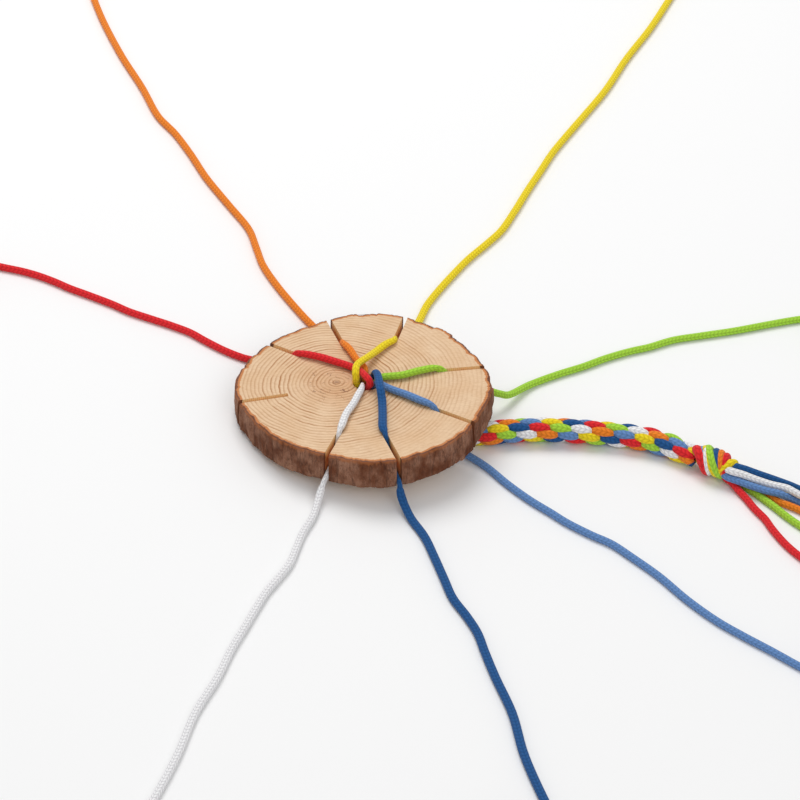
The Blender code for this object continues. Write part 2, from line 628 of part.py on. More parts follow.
def make_braid(parts, place, material):
    sections = braid_sections(place)
    runs = [0.0]
    for before, here in zip(sections, sections[1:]):
        runs.append(runs[-1] + (here[0] - before[0]).length)

    def vertex(ring, step):
        middle, up, sideways, half, width = sections[ring]
        bearing = math.tau * step / BRAID_STEPS
        groove = 1.0 - cell_relief(runs[ring], bearing) / BRAID_RADIUS
        return middle + (up * math.sin(bearing) * half + sideways * math.cos(bearing) * width) * groove

    rolled_tube("braid", len(sections), BRAID_STEPS, vertex, parts, material)


def make_knot(parts, material):
    """A short barrel with the slanting wraps of an overhand knot."""
    forward = unit(KNOT_HEADING)
    left = unit(KNOT_HEADING + 90)
    middle = Vector((*KNOT_MIDDLE, KNOT_RADIUS + FLOOR_CLEARANCE))

    def vertex(ring, step):
        share = ring / (KNOT_RING_STEPS - 1) * 2 - 1
        bearing = math.tau * step / KNOT_STEPS
        swell = KNOT_END_RADIUS + (KNOT_RADIUS - KNOT_END_RADIUS) * math.sqrt(max(0.0, 1 - share * share))
        slant = math.cos(KNOT_WRAPS * math.pi * share + 2 * bearing)
        radius = swell - WRAP_DEPTH * (1 - slant) / 2 * (1 - share ** 4)
        out = left * math.cos(bearing) + Vector((0, 0, 1)) * math.sin(bearing)
        return middle + forward * share * KNOT_LENGTH / 2 + out * radius

    rolled_tube("knot", KNOT_RING_STEPS, KNOT_STEPS, vertex, parts, material)


def make_tails(parts, materials):
    forward = unit(KNOT_HEADING)
    left = unit(KNOT_HEADING + 90)
    start = Vector((*KNOT_MIDDLE, 0.0)) + forward * (KNOT_LENGTH / 2 + TAIL_GAP)
    for slot, steps in TAILS.items():
        route = []
        for along, aside, height in steps:
            point = start + forward * along + left * aside
            route.append((point.x, point.y, height, CORD_RADIUS))
        curve_tube("tail_" + slot, spaced(smooth_curve(route)), CORD_RADIUS, parts, materials[slot])


def main():
    clear_scene()
    parts = new_collection("braiding_disc")
    cutters = new_collection("cutters")
    place = make_disc(parts, cutters)
    materials = {
        slot: make_material("cotton " + slot.replace("_", " "), colour, COTTON_ROUGHNESS)
        for slot, colour in CORD_COLOURS.items()
    }
    make_cords(parts, place, materials)
    make_braid(parts, place, materials["yellow"])
    make_knot(parts, materials["red"])
    make_tails(parts, materials)


main()
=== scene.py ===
import math
from functools import partial

import bmesh
import bpy
from mathutils import Matrix, Vector, noise


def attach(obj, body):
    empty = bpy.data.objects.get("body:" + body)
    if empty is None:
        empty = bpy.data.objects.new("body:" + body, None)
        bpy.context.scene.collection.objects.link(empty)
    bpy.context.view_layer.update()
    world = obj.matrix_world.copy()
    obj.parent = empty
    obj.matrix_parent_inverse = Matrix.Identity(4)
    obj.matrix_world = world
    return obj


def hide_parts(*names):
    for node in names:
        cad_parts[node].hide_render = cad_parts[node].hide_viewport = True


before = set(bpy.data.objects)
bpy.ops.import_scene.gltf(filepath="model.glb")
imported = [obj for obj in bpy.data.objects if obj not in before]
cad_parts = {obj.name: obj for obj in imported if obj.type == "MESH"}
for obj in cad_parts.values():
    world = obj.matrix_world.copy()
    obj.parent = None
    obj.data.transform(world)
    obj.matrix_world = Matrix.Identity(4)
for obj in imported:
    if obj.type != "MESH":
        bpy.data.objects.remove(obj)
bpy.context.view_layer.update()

bl_info = {
    "name": "Braiding disc",
    "version": (1, 0, 0),
    "blender": (4, 5, 0),
    "location": "View3D > Sidebar > Braiding disc",
    "description": "Models a wooden braiding disc with seven cotton cords, their braid and its knot",
    "category": "Object",
}

BODY = "root"
MM = 0.001  # the numbers below are millimetres and degrees, as in the part's source
UP = Vector((0.0, 0.0, 1.0))

# The slice, in the disc frame: origin at the hole on the underside, +Z through the top face
DISC_RADIUS = 50.4
DISC_THICKNESS = 13.0
DISC_MIDDLE = (-0.6, -3.1)
OUTLINE_WAVES = ((2, 0.4, 0.0), (3, 0.9, 185.0), (4, 0.5, 15.0), (5, 0.5, 40.0), (8, 0.4, 30.0))
BARK_LUMPS = ((29, 0.168), (41, 0.132))  # count round the slice, and height
LUMP_LEAN = 2.0
BARK_BULGE = 0.3
FLAKE_SHARE = 0.3  # height of the flakes in crack depths
BARK_PLATES = 26
PLATE_LEAN = 0.5
PLATE_STEP = 0.6  # how far one bark plate can stand out from the next
CRACK_SHARPNESS = 9.0
SIDE_STEPS = 720
SIDE_LEVELS = (0.0, 0.18, 0.6, 1.7, 2.9, 4.1, 5.3, 6.5, 7.7, 8.9, 10.1, 11.3, 12.4, 12.82, 13.0)
EDGE_ROUNDING = {0: 0.75, 1: 0.28}  # by the number of levels from the edge
FACE_RINGS = (1.2, 1.9, 2.6, 3.4, 4.4, 6.5, 12.0, 22.0, 34.0)  # distances in from the outline
HOLE_STEPS = 64
HOLE_RADIUS = 5.6
HOLE_FLARE = 0.4
KERF = 2.1
TILT = 6.0
TILT_HEADING = -17.0
HOLE_FOOT = (1.652, 2.574, 5.221)  # the hole on the underside, in the world
PITH = (-12.2, -0.8)

# Saw slots: bearing of the inner end from the hole, its distance, and heading of the cut
SLOTS = {
    "orange": (111.4, 26.5, 109.1),
    "yellow": (67.9, 29.3, 75.6),
    "green": (14.3, 29.5, 7.9),
    "light_blue": (-34.3, 31.6, -31.5),
    "dark_blue": (-78.8, 33.6, -71.2),
    "white": (-106.9, 32.6, -109.0),
    "spare": (-164.1, 32.7, -166.1),
    "red": (147.1, 32.5, 147.2),
}

CORD_DIAMETER = 3.0
CORD_RADIUS = CORD_DIAMETER / 2
PINCHED_RADIUS = 0.75
# Radii at which a cord starts and ends to lie free, to swell, to be pressed flat and to rise
PINCH_RANGES = ((0.9, 1.2), (1.5, 1.3), (1.25, 0.75), (1.2, 0.75))
WALL_PLAY = 0.06
SLOT_SWELL = 0.1  # how much a cord swells just before its slot
SLOT_RISE = 1.05  # how much taller it gets inside
WORKING_LENGTH = 550.0
COIL_RADIUS = 18.0
TURN_PITCH = 3.1
COIL_ANGLE = 5
GAP = 0.3
CURVE_STEP = 0.4
CORD_STEP = 1.1
CORD_SIDES = 16
END_SHRINK = 0.72  # a cut end is a little narrower than its cord

# Each cord over the top face: x, y and height above that face in the disc frame, and radius
OVER_DISC = {
    "orange": (
        (-0.5, 3.8, -3.7, 1.25), (-0.5, 3.8, -2.2, 1.25), (-0.6, 4, -0.3, 1.25), (-0.7, 4.9, 1.2, 1.25),
        (-0.9, 6.7, 1.65, 1.3), (-4.4, 13, 1.8, 1.4), (-7.1, 19.6, 1.9, 1.5),
    ),
    "yellow": (
        (-3.8, -0.5, -3.7, 1.25), (-3.8, -0.5, -2, 1.25), (-4.2, -0.3, 0.6, 1.25), (-4.3, -1.7, 3.7, 1.3),
        (-4.4, -0.3, 5.4, 1.3), (-3.9, 3.3, 5.8, 1.3), (-2.1, 6.8, 5.2, 1.35), (0.1, 10.5, 4.3, 1.4),
        (3.9, 17.8, 2.3, 1.5), (7.7, 23.2, 1.9, 1.5),
    ),
    "green": (
        (3.8, 0.5, -3.7, 1.25), (3.8, 0.5, -2.2, 1.25), (4, 0.6, -0.3, 1.25), (4.9, 0.7, 1.2, 1.25),
        (6.7, 0.9, 1.65, 1.3), (14.2, 1.8, 1.9, 1.4), (21.2, 4.8, 1.9, 1.5),
    ),
    "light_blue": (
        (3, -2.3, -3.7, 1.25), (3, -2.3, -2.2, 1.25), (3.2, -2.4, -0.3, 1.25), (3.9, -2.9, 1.2, 1.25),
        (5.4, -4.1, 1.65, 1.3), (10.1, -7.8, 1.8, 1.35), (15.4, -11.1, 1.9, 1.5), (21.2, -15.1, 1.9, 1.5),
    ),
    "dark_blue": (
        (2.3, 3, -3.7, 1.25), (2.6, 3.1, -2, 1.25), (3, 3.2, 0.6, 1.25), (3.5, 2.2, 3, 1.25),
        (4.3, -1.2, 4.3, 1.3), (4.8, -4.9, 4.8, 1.3), (5.2, -8.7, 5.1, 1.35), (5.7, -12.8, 4.9, 1.4),
        (6.2, -15.8, 2.9, 1.5), (6.4, -19.8, 1.9, 1.5), (6.5, -26.5, 1.9, 1.5),
    ),
    "white": (
        (-1.9, -3.2, -3.7, 1), (-1.9, -3.2, -2.2, 1), (-1.9, -3.5, -0.3, 0.95), (-1.7, -4.6, 1.1, 0.95),
        (-2, -7, 1.6, 1.15), (-3.6, -12.3, 1.75, 1.4), (-5.2, -17.5, 1.85, 1.5), (-8, -24.5, 1.9, 1.5),
    ),
    "red": (
        (0.5, -3.8, -3.7, 1.25), (0.5, -3.8, -2, 1.25), (0.7, -3.8, 0.4, 1.25), (1.6, -5.4, 2.9, 1.3),
        (0.7, -4.2, 4.3, 1.3), (-0.7, -2.1, 4.6, 1.3), (-2.1, 1.4, 3.6, 1.3), (-3.8, 4.9, 2.3, 1.35),
        (-6.2, 7.5, 1.8, 1.35), (-9.2, 9.4, 1.8, 1.4), (-12.1, 10.7, 1.9, 1.5), (-19.2, 14.3, 1.9, 1.5),
    ),
}

# This cord drops through its slot and comes out under the disc: distance along the slot, and height
STRAIGHT_DOWN = "light_blue"
DROP = ((1.5, -0.9), (2.5, -4.2), (3.5, -9.0), (5.0, -14.5))
CORD_BREADTH = {"dark_blue": 1.14, "yellow": 1.06}  # cords that lie broad and a little flat

# Cords in their slots: distance along the slot, height above the top face, and radius. The late
# ones keep their full width over the inner end of the slot.
SLOT_ENTRY = ((-0.8, 1.5, 1.15), (0.4, 0.95, 0.9))
SLOT_FALL = ((1.4, 0.0), (2.6, -1.6), (4.2, -4.2), (8.5, -7.8))
LATE_SLOTS = ("dark_blue", "white")
LATE_ENTRY = ((0.3, 1.75, 1.5), (2.0, 1.35, 1.2), (3.2, 0.6, 0.9))
LATE_FALL = ((4.3, -1.4), (5.4, -3.8), (8.5, -7.8))
SLOT_MOUTH = ((-3.5, -10.3), (0.8, -11.2))  # distance past the rim, and height
HELD_AT = (6.0, 7.0)  # where a cord stands upright: distance along the slot, height from the underside

# Each cord on the floor, in the world frame: x, y and the height of its middle where it is raised
ON_FLOOR = {
    "orange": (
        (-17.1, 51.8, 3.2), (-19.6, 56.3, 2), (-23.6, 62.5, 1.6), (-28.8, 71), (-37, 85.5), (-43.2, 99),
        (-46.3, 110.7), (-50, 124), (-59.4, 141), (-69.8, 159.8), (-77.5, 177), (-85, 191.8), (-93, 204),
        (-101.5, 226), (-112, 250), (-122, 277), (-128, 297), (-131.5, 311),
    ),
    "yellow": (
        (18.3, 52.5, 5.6), (20.8, 59, 3.2), (23.7, 69, 1.7), (26.8, 79.7), (31.6, 90.5), (38.5, 104),
        (44.8, 115.3), (53.3, 128.2), (59.5, 138.4), (65.7, 153.7), (71.8, 170.4), (77.9, 186),
        (84.1, 202), (91.1, 216.9), (98.5, 232), (110, 256), (121, 284), (134, 313), (144.4, 339.8),
        (149.5, 353),
    ),
    "green": (
        (52.9, 13.6, 9.6), (56, 15.6, 7.4), (59.5, 18.6, 4.8), (69.4, 30.6, 1.8), (80.7, 39), (92.1, 46.1),
        (101.7, 52.9), (112.4, 59.2), (120.3, 63), (131.1, 69.4), (142.6, 73.8), (157.8, 79.4),
        (174.6, 86.6), (186.6, 91.4), (199, 95),
    ),
    "light_blue": (
        (36, -16.5, 4), (42, -18.7, 2.2), (49.7, -24.4), (59, -35.2), (67.5, -43.8), (75.4, -50.4),
        (81.8, -55.9), (91.2, -62.2), (99.2, -66.8), (106.9, -73.9), (116.9, -83.9), (127.8, -97.3),
        (138.7, -108.2), (147.9, -115.3), (158.2, -122.6), (168.1, -130), (179.5, -138),
    ),
    "dark_blue": (
        (15.4, -52.6, 6.6), (17.4, -56.2, 3.6), (20, -61.1, 1.8), (25.2, -71), (28.8, -82), (32.6, -94.8),
        (36.1, -106.3), (41.4, -116.3), (45.3, -125.2), (47.8, -135.2), (51.6, -149), (57.5, -168),
        (61.5, -190), (68.1, -212.4), (73, -226),
    ),
    "white": (
        (-16, -51.8, 4.4), (-16.9, -56, 2.6), (-18.5, -64, 1.6), (-22.3, -74.6), (-24.8, -84.7),
        (-27, -93.4), (-31.1, -102.3), (-35.5, -111.1), (-39.1, -120.9), (-43.3, -132.9), (-47.5, -144.8),
        (-52, -160.5), (-59.5, -181), (-65, -204), (-72.2, -227), (-77.5, -241),
    ),
    "red": (
        (-43, 31.4, 1.7), (-49.5, 33.6), (-56.7, 37.1), (-65.1, 42.7), (-71.7, 47.6), (-79.4, 51.3),
        (-89.2, 55.2), (-97.6, 58.6), (-105, 62.8), (-115.4, 67.8), (-123.3, 71.4), (-129.3, 74.8),
        (-136, 78), (-143, 80.4), (-153.7, 82.7), (-165.5, 86),
    ),
}
COIL_SIDE = {"orange": -1, "yellow": 1, "green": -1, "light_blue": 1, "dark_blue": -1, "white": 1, "red": 1}

# Turns of a coil: angle, radius of the turn and height, changed smoothly from one line to the next
COIL_TURNS = (
    (0, 0, 0), (310, 0, 0), (360, 1, 0), (610, 1, 0), (660, 1, 1), (915, 1, 1), (965, 0, 1), (1270, 0, 1),
)

# Braid and knot
BRAID_RADIUS = 5.15
BRAID_IN_HOLE = 4.95
BRAID_TOP = 9.0
BRAID_SPREAD = 0.6
BEND_ROUNDNESS = 2.6
UNDER_DISC_GAP = 0.4
FLOOR_CLEARANCE = 0.05
SECTION_SPACING = 1.2
HOLE_SECTIONS = 8
BEND_SECTIONS = 14
STRAND_STEP = 0.8
STRAND_SIDES = 12
ROWS = 8
CELL_SHIFT = 0.875  # from one move of a cord to its next, in cells
CELL_HALF = 0.46  # half of what shows of a cord in a cell, in cells
CELL_LEAN = 0.14  # how far it crosses its row from end to middle, in rows
DRIFT = (0.04, 0.1)  # how far a cord strays along the braid in cells, and round it in rows
SLACK = (0.05, 0.3)  # how much a cord's length in a cell and its height vary
CELL_STEPS = (-1.0, -0.9, -0.75, -0.55, -0.3, 0.0, 0.3, 0.55, 0.75, 0.9, 1.0)
OUTER_REACH = 3.65  # distance of a strand from the braid's middle, at the top of a cell
CELL_REACH = 1.9
INNER_REACH = 1.55
END_REACH = 1.5
STRAND_WIDTH = (1.35, 0.6)  # half width inside the braid, and what a strand gains on the outside
STRAND_HEIGHT = (1.3, 0.2)
KNOT_SQUEEZE = (12.0, 10.0, 0.15)  # start before the knot, length and share of the braid's tightening
BRAID_ROUTE = (
    (24.0, -2.9), (47.2, -8.5), (53.7, -6.9), (67.0, -3.9), (81.2, -2.3), (95.0, -2.0),
    (109.5, -2.8), (115.8, -3.7), (124.1, -6.6), (130.5, -10.2), (134.6, -12.5),
)
BRAID_ORDER = ("yellow", "dark_blue", "red", "green", "white", "orange", "light_blue")
KNOT_MIDDLE = (142.0, -16.6)
KNOT_HEADING = -24.0
KNOT_LENGTH = 15.0
KNOT_RADIUS = 6.6

# Wraps of the knot: colour, place along it, radius of the turn, radius of the cord and slant
KNOT_WRAPS = (
    ("red", -4.8, 4.4, 2.1, 3.3), ("light_blue", -3.4, 4.35, 1.3, 2.6), ("white", -2.4, 4.6, 1.5, 1.9),
    ("yellow", -1.2, 4.45, 1.6, 3.6), ("green", 0.3, 4.65, 1.8, 4.0), ("dark_blue", 2.1, 4.35, 1.5, 2.4),
    ("orange", 3.5, 4.5, 1.5, 1.7), ("red", 4.9, 4.3, 1.6, 0.6), ("yellow", 5.4, 4.35, 1.7, -2.7),
)
KNOT_TAPER = 9.5  # half length of the egg shape that the wraps follow
WRAP_TURN = 53.5  # bearing round the knot where a slanting wrap lies furthest back
WRAP_STEPS = 48
WRAP_SIDES = 14
WRAP_FLATNESS = 0.95
CORE_SIDES = 20
KNOT_CORE = ((0.95, 1.5), (0.8, 3.2), (0.4, 4.4))  # share of the half length, and radius
CORE_RADIUS = 4.6

# Loose ends past the knot: distance along its heading, distance to the left, and height where raised
TAIL_GAP = 0.5
TAIL_START = -4.5  # hidden in the knot, and nearer its middle than where the end comes out
TAIL_SHARE = 0.6
TAILS = {
    "dark_blue": (
        (0, -0.5, 8.5), (1.5, -0.3, 8.4), (5, 0.8, 7.8), (10.3, 2.1, 6.7), (17, 4.3, 5), (23, 6.3, 3.3),
        (29, 8.2), (45, 12.5), (67, 15.5),
    ),
    "white": (
        (0, -3.4, 7.9), (1.5, -3.4, 7.9), (5, -2.45, 7.4), (10, -1.4, 6.4), (17, 0.2, 5.25),
        (21.5, 0.8, 5.5), (24, 0.9, 5.6), (26, 0.6, 5.4), (30, 0.2, 5), (35, 1.3, 3.9), (40, 1.6, 2.2),
        (46, 1.6), (63, 1.2),
    ),
    "yellow": (
        (0, 2.1, 6.2), (1.5, 2.2, 6.1), (5, 3.35, 5), (7.5, 3.85, 4.2), (10, 3.8, 3.2), (17, 2.6),
        (23, 3.3), (29, 3.5), (40, 5.4), (60, 7),
    ),
    "light_blue": (
        (0, -4.4, 5), (1.5, -4.4, 5.05), (5, -4.4, 5.05), (10, -4.2, 4.75), (17, -3.7, 4.7),
        (21.5, -2.6, 4.5), (26, -0.4, 2.4), (30, -0.1), (40, -2.2), (66, -4.6),
    ),
    "orange": (
        (0, -1.2, 5.5), (1.5, -1.1, 5.5), (5, 0, 4.8), (7.5, 0.45, 3.8), (10, 0.3, 2.6), (13, -0.3, 1.6),
        (17, -1.9), (21.5, -3.8), (26, -4), (30, -4.2), (40, -6.2), (70, -12),
    ),
    "green": (
        (0, 0.9, 2.7), (1.5, 0.85, 2.6), (3.5, 0, 1.9), (5, -1), (9.6, -2.9), (13, -4), (17, -5.7),
        (21.6, -7.7), (30.1, -11.8), (41, -15.5), (62, -20.5),
    ),
    "red": (
        (0, -2.5, 2.2), (1.5, -3, 2.2), (3.5, -4.4, 2.1), (5.5, -5.8, 1.9), (9.8, -8.7, 1.6),
        (15.4, -13.2), (21.1, -17), (26.2, -21.8), (36, -29), (52, -36), (68, -40),
    ),
}

VIEW_MIDDLE = (13.4, -12.575, 13.0)  # in the disc frame
LENS = 168.75
SENSOR = 36.0
FLOOR_SIZE = 6.0  # metres from the middle to each side
LAMPS = (  # name, place and breadth in metres, and share of the power
    ("lamp overhead", (-0.35, 0.75, 1.5), 1.1, 1.0),
    ("lamp at the front", (0.5, -1.3, 1.2), 1.0, 0.28),
)


def linear(code):
    """The linear colour of an sRGB hex code."""
    channels = [int(code[i:i + 2], 16) / 255 for i in (1, 3, 5)]
    return tuple(c / 12.92 if c <= 0.04045 else ((c + 0.055) / 1.055) ** 2.4 for c in channels)


def length_setting(name, description, default):
    return bpy.props.FloatProperty(
        name=name, description=description, default=default * MM, min=0.0, precision=5,
        unit="LENGTH", subtype="DISTANCE",
    )


def colour_setting(name, description, code):
    return bpy.props.FloatVectorProperty(
        name=name, description=description, default=linear(code), size=3, min=0.0, max=1.0,
        subtype="COLOR",
    )


def angle_setting(name, description, degrees):
    return bpy.props.FloatProperty(
        name=name, description=description, default=math.radians(degrees), subtype="ANGLE",
    )


class WoodSettings(bpy.types.PropertyGroup):
    ring_spacing: length_setting("Ring spacing", "Width of one year's growth", 1.65)
    bark_thickness: length_setting("Bark thickness", "Bark seen on the sawn faces", 1.7)
    fissure_depth: length_setting("Fissure depth", "Depth of the cracks in the bark", 0.35)
    wood_colour: colour_setting("Wood", "Pale early wood", "#E8C9A5")
    ring_colour: colour_setting("Rings", "Dense late wood", "#AC7546")
    heart_colour: colour_setting("Heart", "Darker wood round the pith", "#CF9C70")
    inner_bark_colour: colour_setting("Inner bark", "Bark next to the wood", "#CB8046")
    bark_colour: colour_setting("Bark", "Outer bark", "#764630")
    crack_colour: colour_setting("Cracks", "Bottom of the bark's cracks", "#442A20")
    # Saw cut is the pale sawn wood painted lighter for light bounced into the slots; Scorch is painted shade
    # low in the slots, partly real scorching.
    cut_colour_painted_lighter: colour_setting("Saw cut", "Side of a saw slot", "#FFE2AC")
    scorch_and_shade_colour: colour_setting("Scorch and shade", "Saw slot where the blade has scorched it", "#C05C14")


class CordSettings(bpy.types.PropertyGroup):
    plait_length: length_setting("Plait length", "Length of one crossing of the cord's threads", 1.8)
    orange: colour_setting("Orange", "Cord in the slot at the back left", "#F6831A")
    yellow: colour_setting("Yellow", "Cord in the slot at the back right", "#F9D714")
    green: colour_setting("Green", "Cord in the slot at the right", "#A6D83C")
    light_blue: colour_setting("Light blue", "Cord in the slot at the front right", "#628AC1")
    dark_blue: colour_setting("Dark blue", "Cord in the slot right of the front", "#13518C")
    white: colour_setting("White", "Cord in the slot left of the front", "#F2F0F4")
    red: colour_setting("Red", "Cord in the slot at the left", "#E21F26")


class BraidSettings(bpy.types.PropertyGroup):
    cell_length: length_setting("Cell length", "Length from one cord to the next in a row", 8.75)
    first_cell: length_setting("First cell", "From the upper end to a yellow cell of the first row", 49.1)
    row_turn: angle_setting("Row turn", "Bearing of the first row at the braid's upper end", 176.0)
    twist: angle_setting("Twist", "Turn of the rows for each millimetre along the braid", -0.36)


class StageSettings(bpy.types.PropertyGroup):
    camera_elevation: angle_setting("Camera elevation", "Angle of view above the disc's top face", 36.5)
    camera_distance: length_setting("Camera distance", "From the camera to the middle of the view", 1500.0)
    lamp_power: bpy.props.FloatProperty(
        name="Lamp power", description="Power of the large lamp overhead", default=15.0, unit="POWER",
    )
    sky_level: bpy.props.FloatProperty(
        name="Sky level", description="Light that comes evenly from all round", default=0.55,
    )
    floor_colour: colour_setting("Floor", "White paper under the disc", "#F7F7F7")


# Shared helpers


def unit(degrees):
    return Vector((math.cos(math.radians(degrees)), math.sin(math.radians(degrees)), 0.0))


def disc_place():
    """The matrix, in millimetres, from the disc frame to the world."""
    lean_axis = unit(TILT_HEADING).cross(UP)
    return Matrix.Translation(HOLE_FOOT) @ Matrix.Rotation(math.radians(TILT), 4, lean_axis)


def smooth(share):
    share = min(1.0, max(0.0, share))
    return share * share * (3 - 2 * share)


def mix(low, high, share):
    return [a + (b - a) * share for a, b in zip(low, high)]


def blend_points(points, knots, t):
    """One point of the smooth curve, by repeated blending between neighbours."""
    level = points
    for reach in (1, 2):
        pairs = enumerate(zip(level, level[1:]))
        level = [mix(a, b, (t - knots[i]) / (knots[i + reach] - knots[i])) for i, (a, b) in pairs]
    return mix(level[0], level[1], (t - knots[1]) / (knots[2] - knots[1]))


def smooth_curve(points):
    """Closely spaced points on a smooth curve through the given ones, never sunk into the floor."""
    first = [2 * a - b for a, b in zip(points[0], points[1])]
    last = [2 * a - b for a, b in zip(points[-1], points[-2])]
    chain = [first, *points, last]
    curve = []
    for near in zip(chain, chain[1:], chain[2:], chain[3:]):
        start, end = near[1:3]
        spans = [math.sqrt(math.dist(a[:3], b[:3])) for a, b in zip(near, near[1:])]
        knots = [0.0, spans[0], spans[0] + spans[1], sum(spans)]
        pieces = max(2, int(math.dist(start[:3], end[:3]) / CURVE_STEP))
        for piece in range(pieces):
            t = knots[1] + (knots[2] - knots[1]) * piece / pieces
            curve.append(blend_points(near, knots, t))
    curve.append(list(points[-1]))
    return [[x, y, max(z, radius), radius] for x, y, z, radius in curve]


def run_length(points):
    return sum(math.dist(a[:3], b[:3]) for a, b in zip(points, points[1:]))


def running_lengths(places):
    runs = [0.0]
    for before, here in zip(places, places[1:]):
        runs.append(runs[-1] + (here - before).length)
    return runs


def resample(points, spacing):
    """Points at an even spacing along a line, with all their numbers blended."""
    total = run_length(points)
    count = max(2, round(total / spacing))
    even = [list(points[0])]
    run = 0.0
    for here, ahead in zip(points, points[1:]):
        span = math.dist(here[:3], ahead[:3])
        while span > 0 and len(even) < count and run + span >= total * len(even) / count:
            even.append(mix(here, ahead, (total * len(even) / count - run) / span))
        run += span
    even.append(list(points[-1]))
    return even


def carried_frames(points, start, across):
    """A sideways and an upright direction at each point, turned as little as possible along the line."""
    places = [Vector(point[:3]) for point in points]
    last = len(places) - 1
    ways = [(places[min(i + 1, last)] - places[max(i - 1, 0)]).normalized() for i in range(last + 1)]
    sides = [None] * (last + 1)
    sides[start] = (across - ways[start] * across.dot(ways[start])).normalized()
    onward = [(i, i - 1) for i in range(start + 1, last + 1)]
    for here, before in onward + [(i, i + 1) for i in range(start - 1, -1, -1)]:
        side = ways[before].rotation_difference(ways[here]) @ sides[before]
        sides[here] = (side - ways[here] * side.dot(ways[here])).normalized()
    return places, [(side, way.cross(side)) for side, way in zip(sides, ways)]


def cord_work():
    """An empty bmesh, and the UV map that a cord's stitches follow."""
    work = bmesh.new()
    return work, work.loops.layers.uv.new("cord")


def add_tube(work, uv_map, centres, frames, sizes, around, slot, closed=False):
    """Roll a flat grid into a tube along the centres and add it to a bmesh, with its run in the UV map."""
    rings = len(centres)
    grid = bmesh.ops.create_grid(work, x_segments=rings - 1, y_segments=around, size=1.0)["verts"]
    runs = running_lengths(centres)
    spot = {}
    for vert in grid:
        ring = round((vert.co.x + 1) / 2 * (rings - 1))
        step = round((vert.co.y + 1) / 2 * around)
        spot[vert] = (ring, step)
        side, up = frames[ring]
        turn = math.tau * (step % around) / around
        wide, high = sizes[ring]
        vert.co = centres[ring] + side * math.cos(turn) * wide + up * math.sin(turn) * high
    faces = {face for vert in grid for face in vert.link_faces}
    for face in faces:
        face.material_index = slot
        face.smooth = True
        for loop in face.loops:
            ring, step = spot[loop.vert]
            loop[uv_map].uv = (runs[ring], step / around)
    seam = [vert for vert in grid if spot[vert][1] in (0, around)]
    bmesh.ops.remove_doubles(work, verts=seam, dist=0.0001)
    if not closed:
        rims = {
            edge for vert in grid if vert.is_valid and spot[vert][0] in (0, rings - 1)
            for edge in vert.link_edges if edge.is_boundary
        }
        for cap in bmesh.ops.holes_fill(work, edges=list(rims), sides=0)["faces"]:
            cap.material_index = slot


def new_object(work, name, materials):
    """A bmesh as a new object in the scene."""
    mesh = bpy.data.meshes.new(name)
    work.to_mesh(mesh)
    work.free()
    for material in materials:
        mesh.materials.append(material)
    thing = bpy.data.objects.new(name, mesh)
    bpy.context.scene.collection.objects.link(thing)
    return thing


def finish_piece(work, name, materials, nodes):
    """Turn a bmesh in millimetres into a riding piece in metres that stands for CAD nodes."""
    bmesh.ops.recalc_face_normals(work, faces=work.faces)
    bmesh.ops.scale(work, vec=(MM, MM, MM), verts=work.verts)
    piece = new_object(work, name, materials)
    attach(piece, BODY)
    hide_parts(*nodes)
    return piece


def in_metres(points):
    return [[coordinate * MM for coordinate in point[:3]] for point in points]


# Materials

PITH_STAIN = linear("#7A4C34")
PLATE_DARK = linear("#66371F")
PLATE_LIGHT = linear("#9E735C")
TORN_BARK = linear("#A9653A")
TOOTH_MARK = linear("#EC9A44")
CUT_BARK = linear("#7A4A30")
WOOD_SHADE = (0.93, 0.87, 0.8)  # what the darker clouds leave of the pale wood's red, green and blue
RING_BENDS = ((0.03, 5.0), (0.13, 1.1), (0.5, 0.25))  # scale and size of the waves in the rings
BARK_PATTERNS = (  # scale per millimetre, detail, share of it upwards, roughness
    (0.16, 5.0, 0.6, 0.6),  # plates
    (0.8, 4.0, 0.09, 0.6),  # upright lines
    (1.7, 4.0, 0.7, 0.65),  # flakes
    (2.0, 5.0, 0.35, 0.7),  # grain
    (0.2, 3.0, 0.14, 0.55),  # cracks between plates
    (0.5, 4.0, 0.6, 0.65),  # ragged upper edge
)
TOOTH_SPACING = 0.8
CORD_COLUMNS = 8  # columns of slanted stitches round a cord


def set_inputs(material, node, inputs):
    """Set a node's inputs, by name or in order, to numbers, colours or other nodes' sockets."""
    for key, value in (inputs if isinstance(inputs, dict) else dict(enumerate(inputs))).items():
        socket = node.inputs[key]
        if isinstance(value, bpy.types.NodeSocket):
            material.node_tree.links.new(value, socket)
        elif socket.type == "RGBA":
            socket.default_value = (*value[:3], 1.0)
        else:
            socket.default_value = value


def add_node(material, kind, inputs=(), output=0, **settings):
    """Add a node with its settings and links. Returns one of its output sockets."""
    node = material.node_tree.nodes.new("ShaderNode" + kind)
    for key, value in settings.items():
        setattr(node, key, value)
    set_inputs(material, node, inputs)
    return node.outputs[output]


def new_material(name):
    """A new material, and add_node for it."""
    material = bpy.data.materials.new(name)
    material.use_nodes = True
    return material, partial(add_node, material)


def wood_material(name):
    """A material for the slice, add_node for it, Object coordinates as disc millimetres, the settings."""
    material, add = new_material(name)
    upright = disc_place().inverted()
    where = add("Mapping", {
        "Vector": add("TexCoord", output="Object"), "Location": upright.translation,
        "Rotation": upright.to_euler(), "Scale": (1 / MM, 1 / MM, 1 / MM),
    })
    return material, add, where, bpy.context.scene.braiding_disc_wood


def finish_surface(material, **inputs):
    """Fill the shader. An underline in a name stands for a space."""
    named = {name.replace("_", " "): value for name, value in inputs.items()}
    set_inputs(material, material.node_tree.nodes["Principled BSDF"], named)
    return material


def winding_lines(add, value, wide, narrow):
    """Thin winding lines where a noise passes through its middle."""
    away = add("Math", [add("Math", [value, 0.5], operation="SUBTRACT")], operation="ABSOLUTE")
    return add("MapRange", [away, wide, narrow], interpolation_type="SMOOTHSTEP")


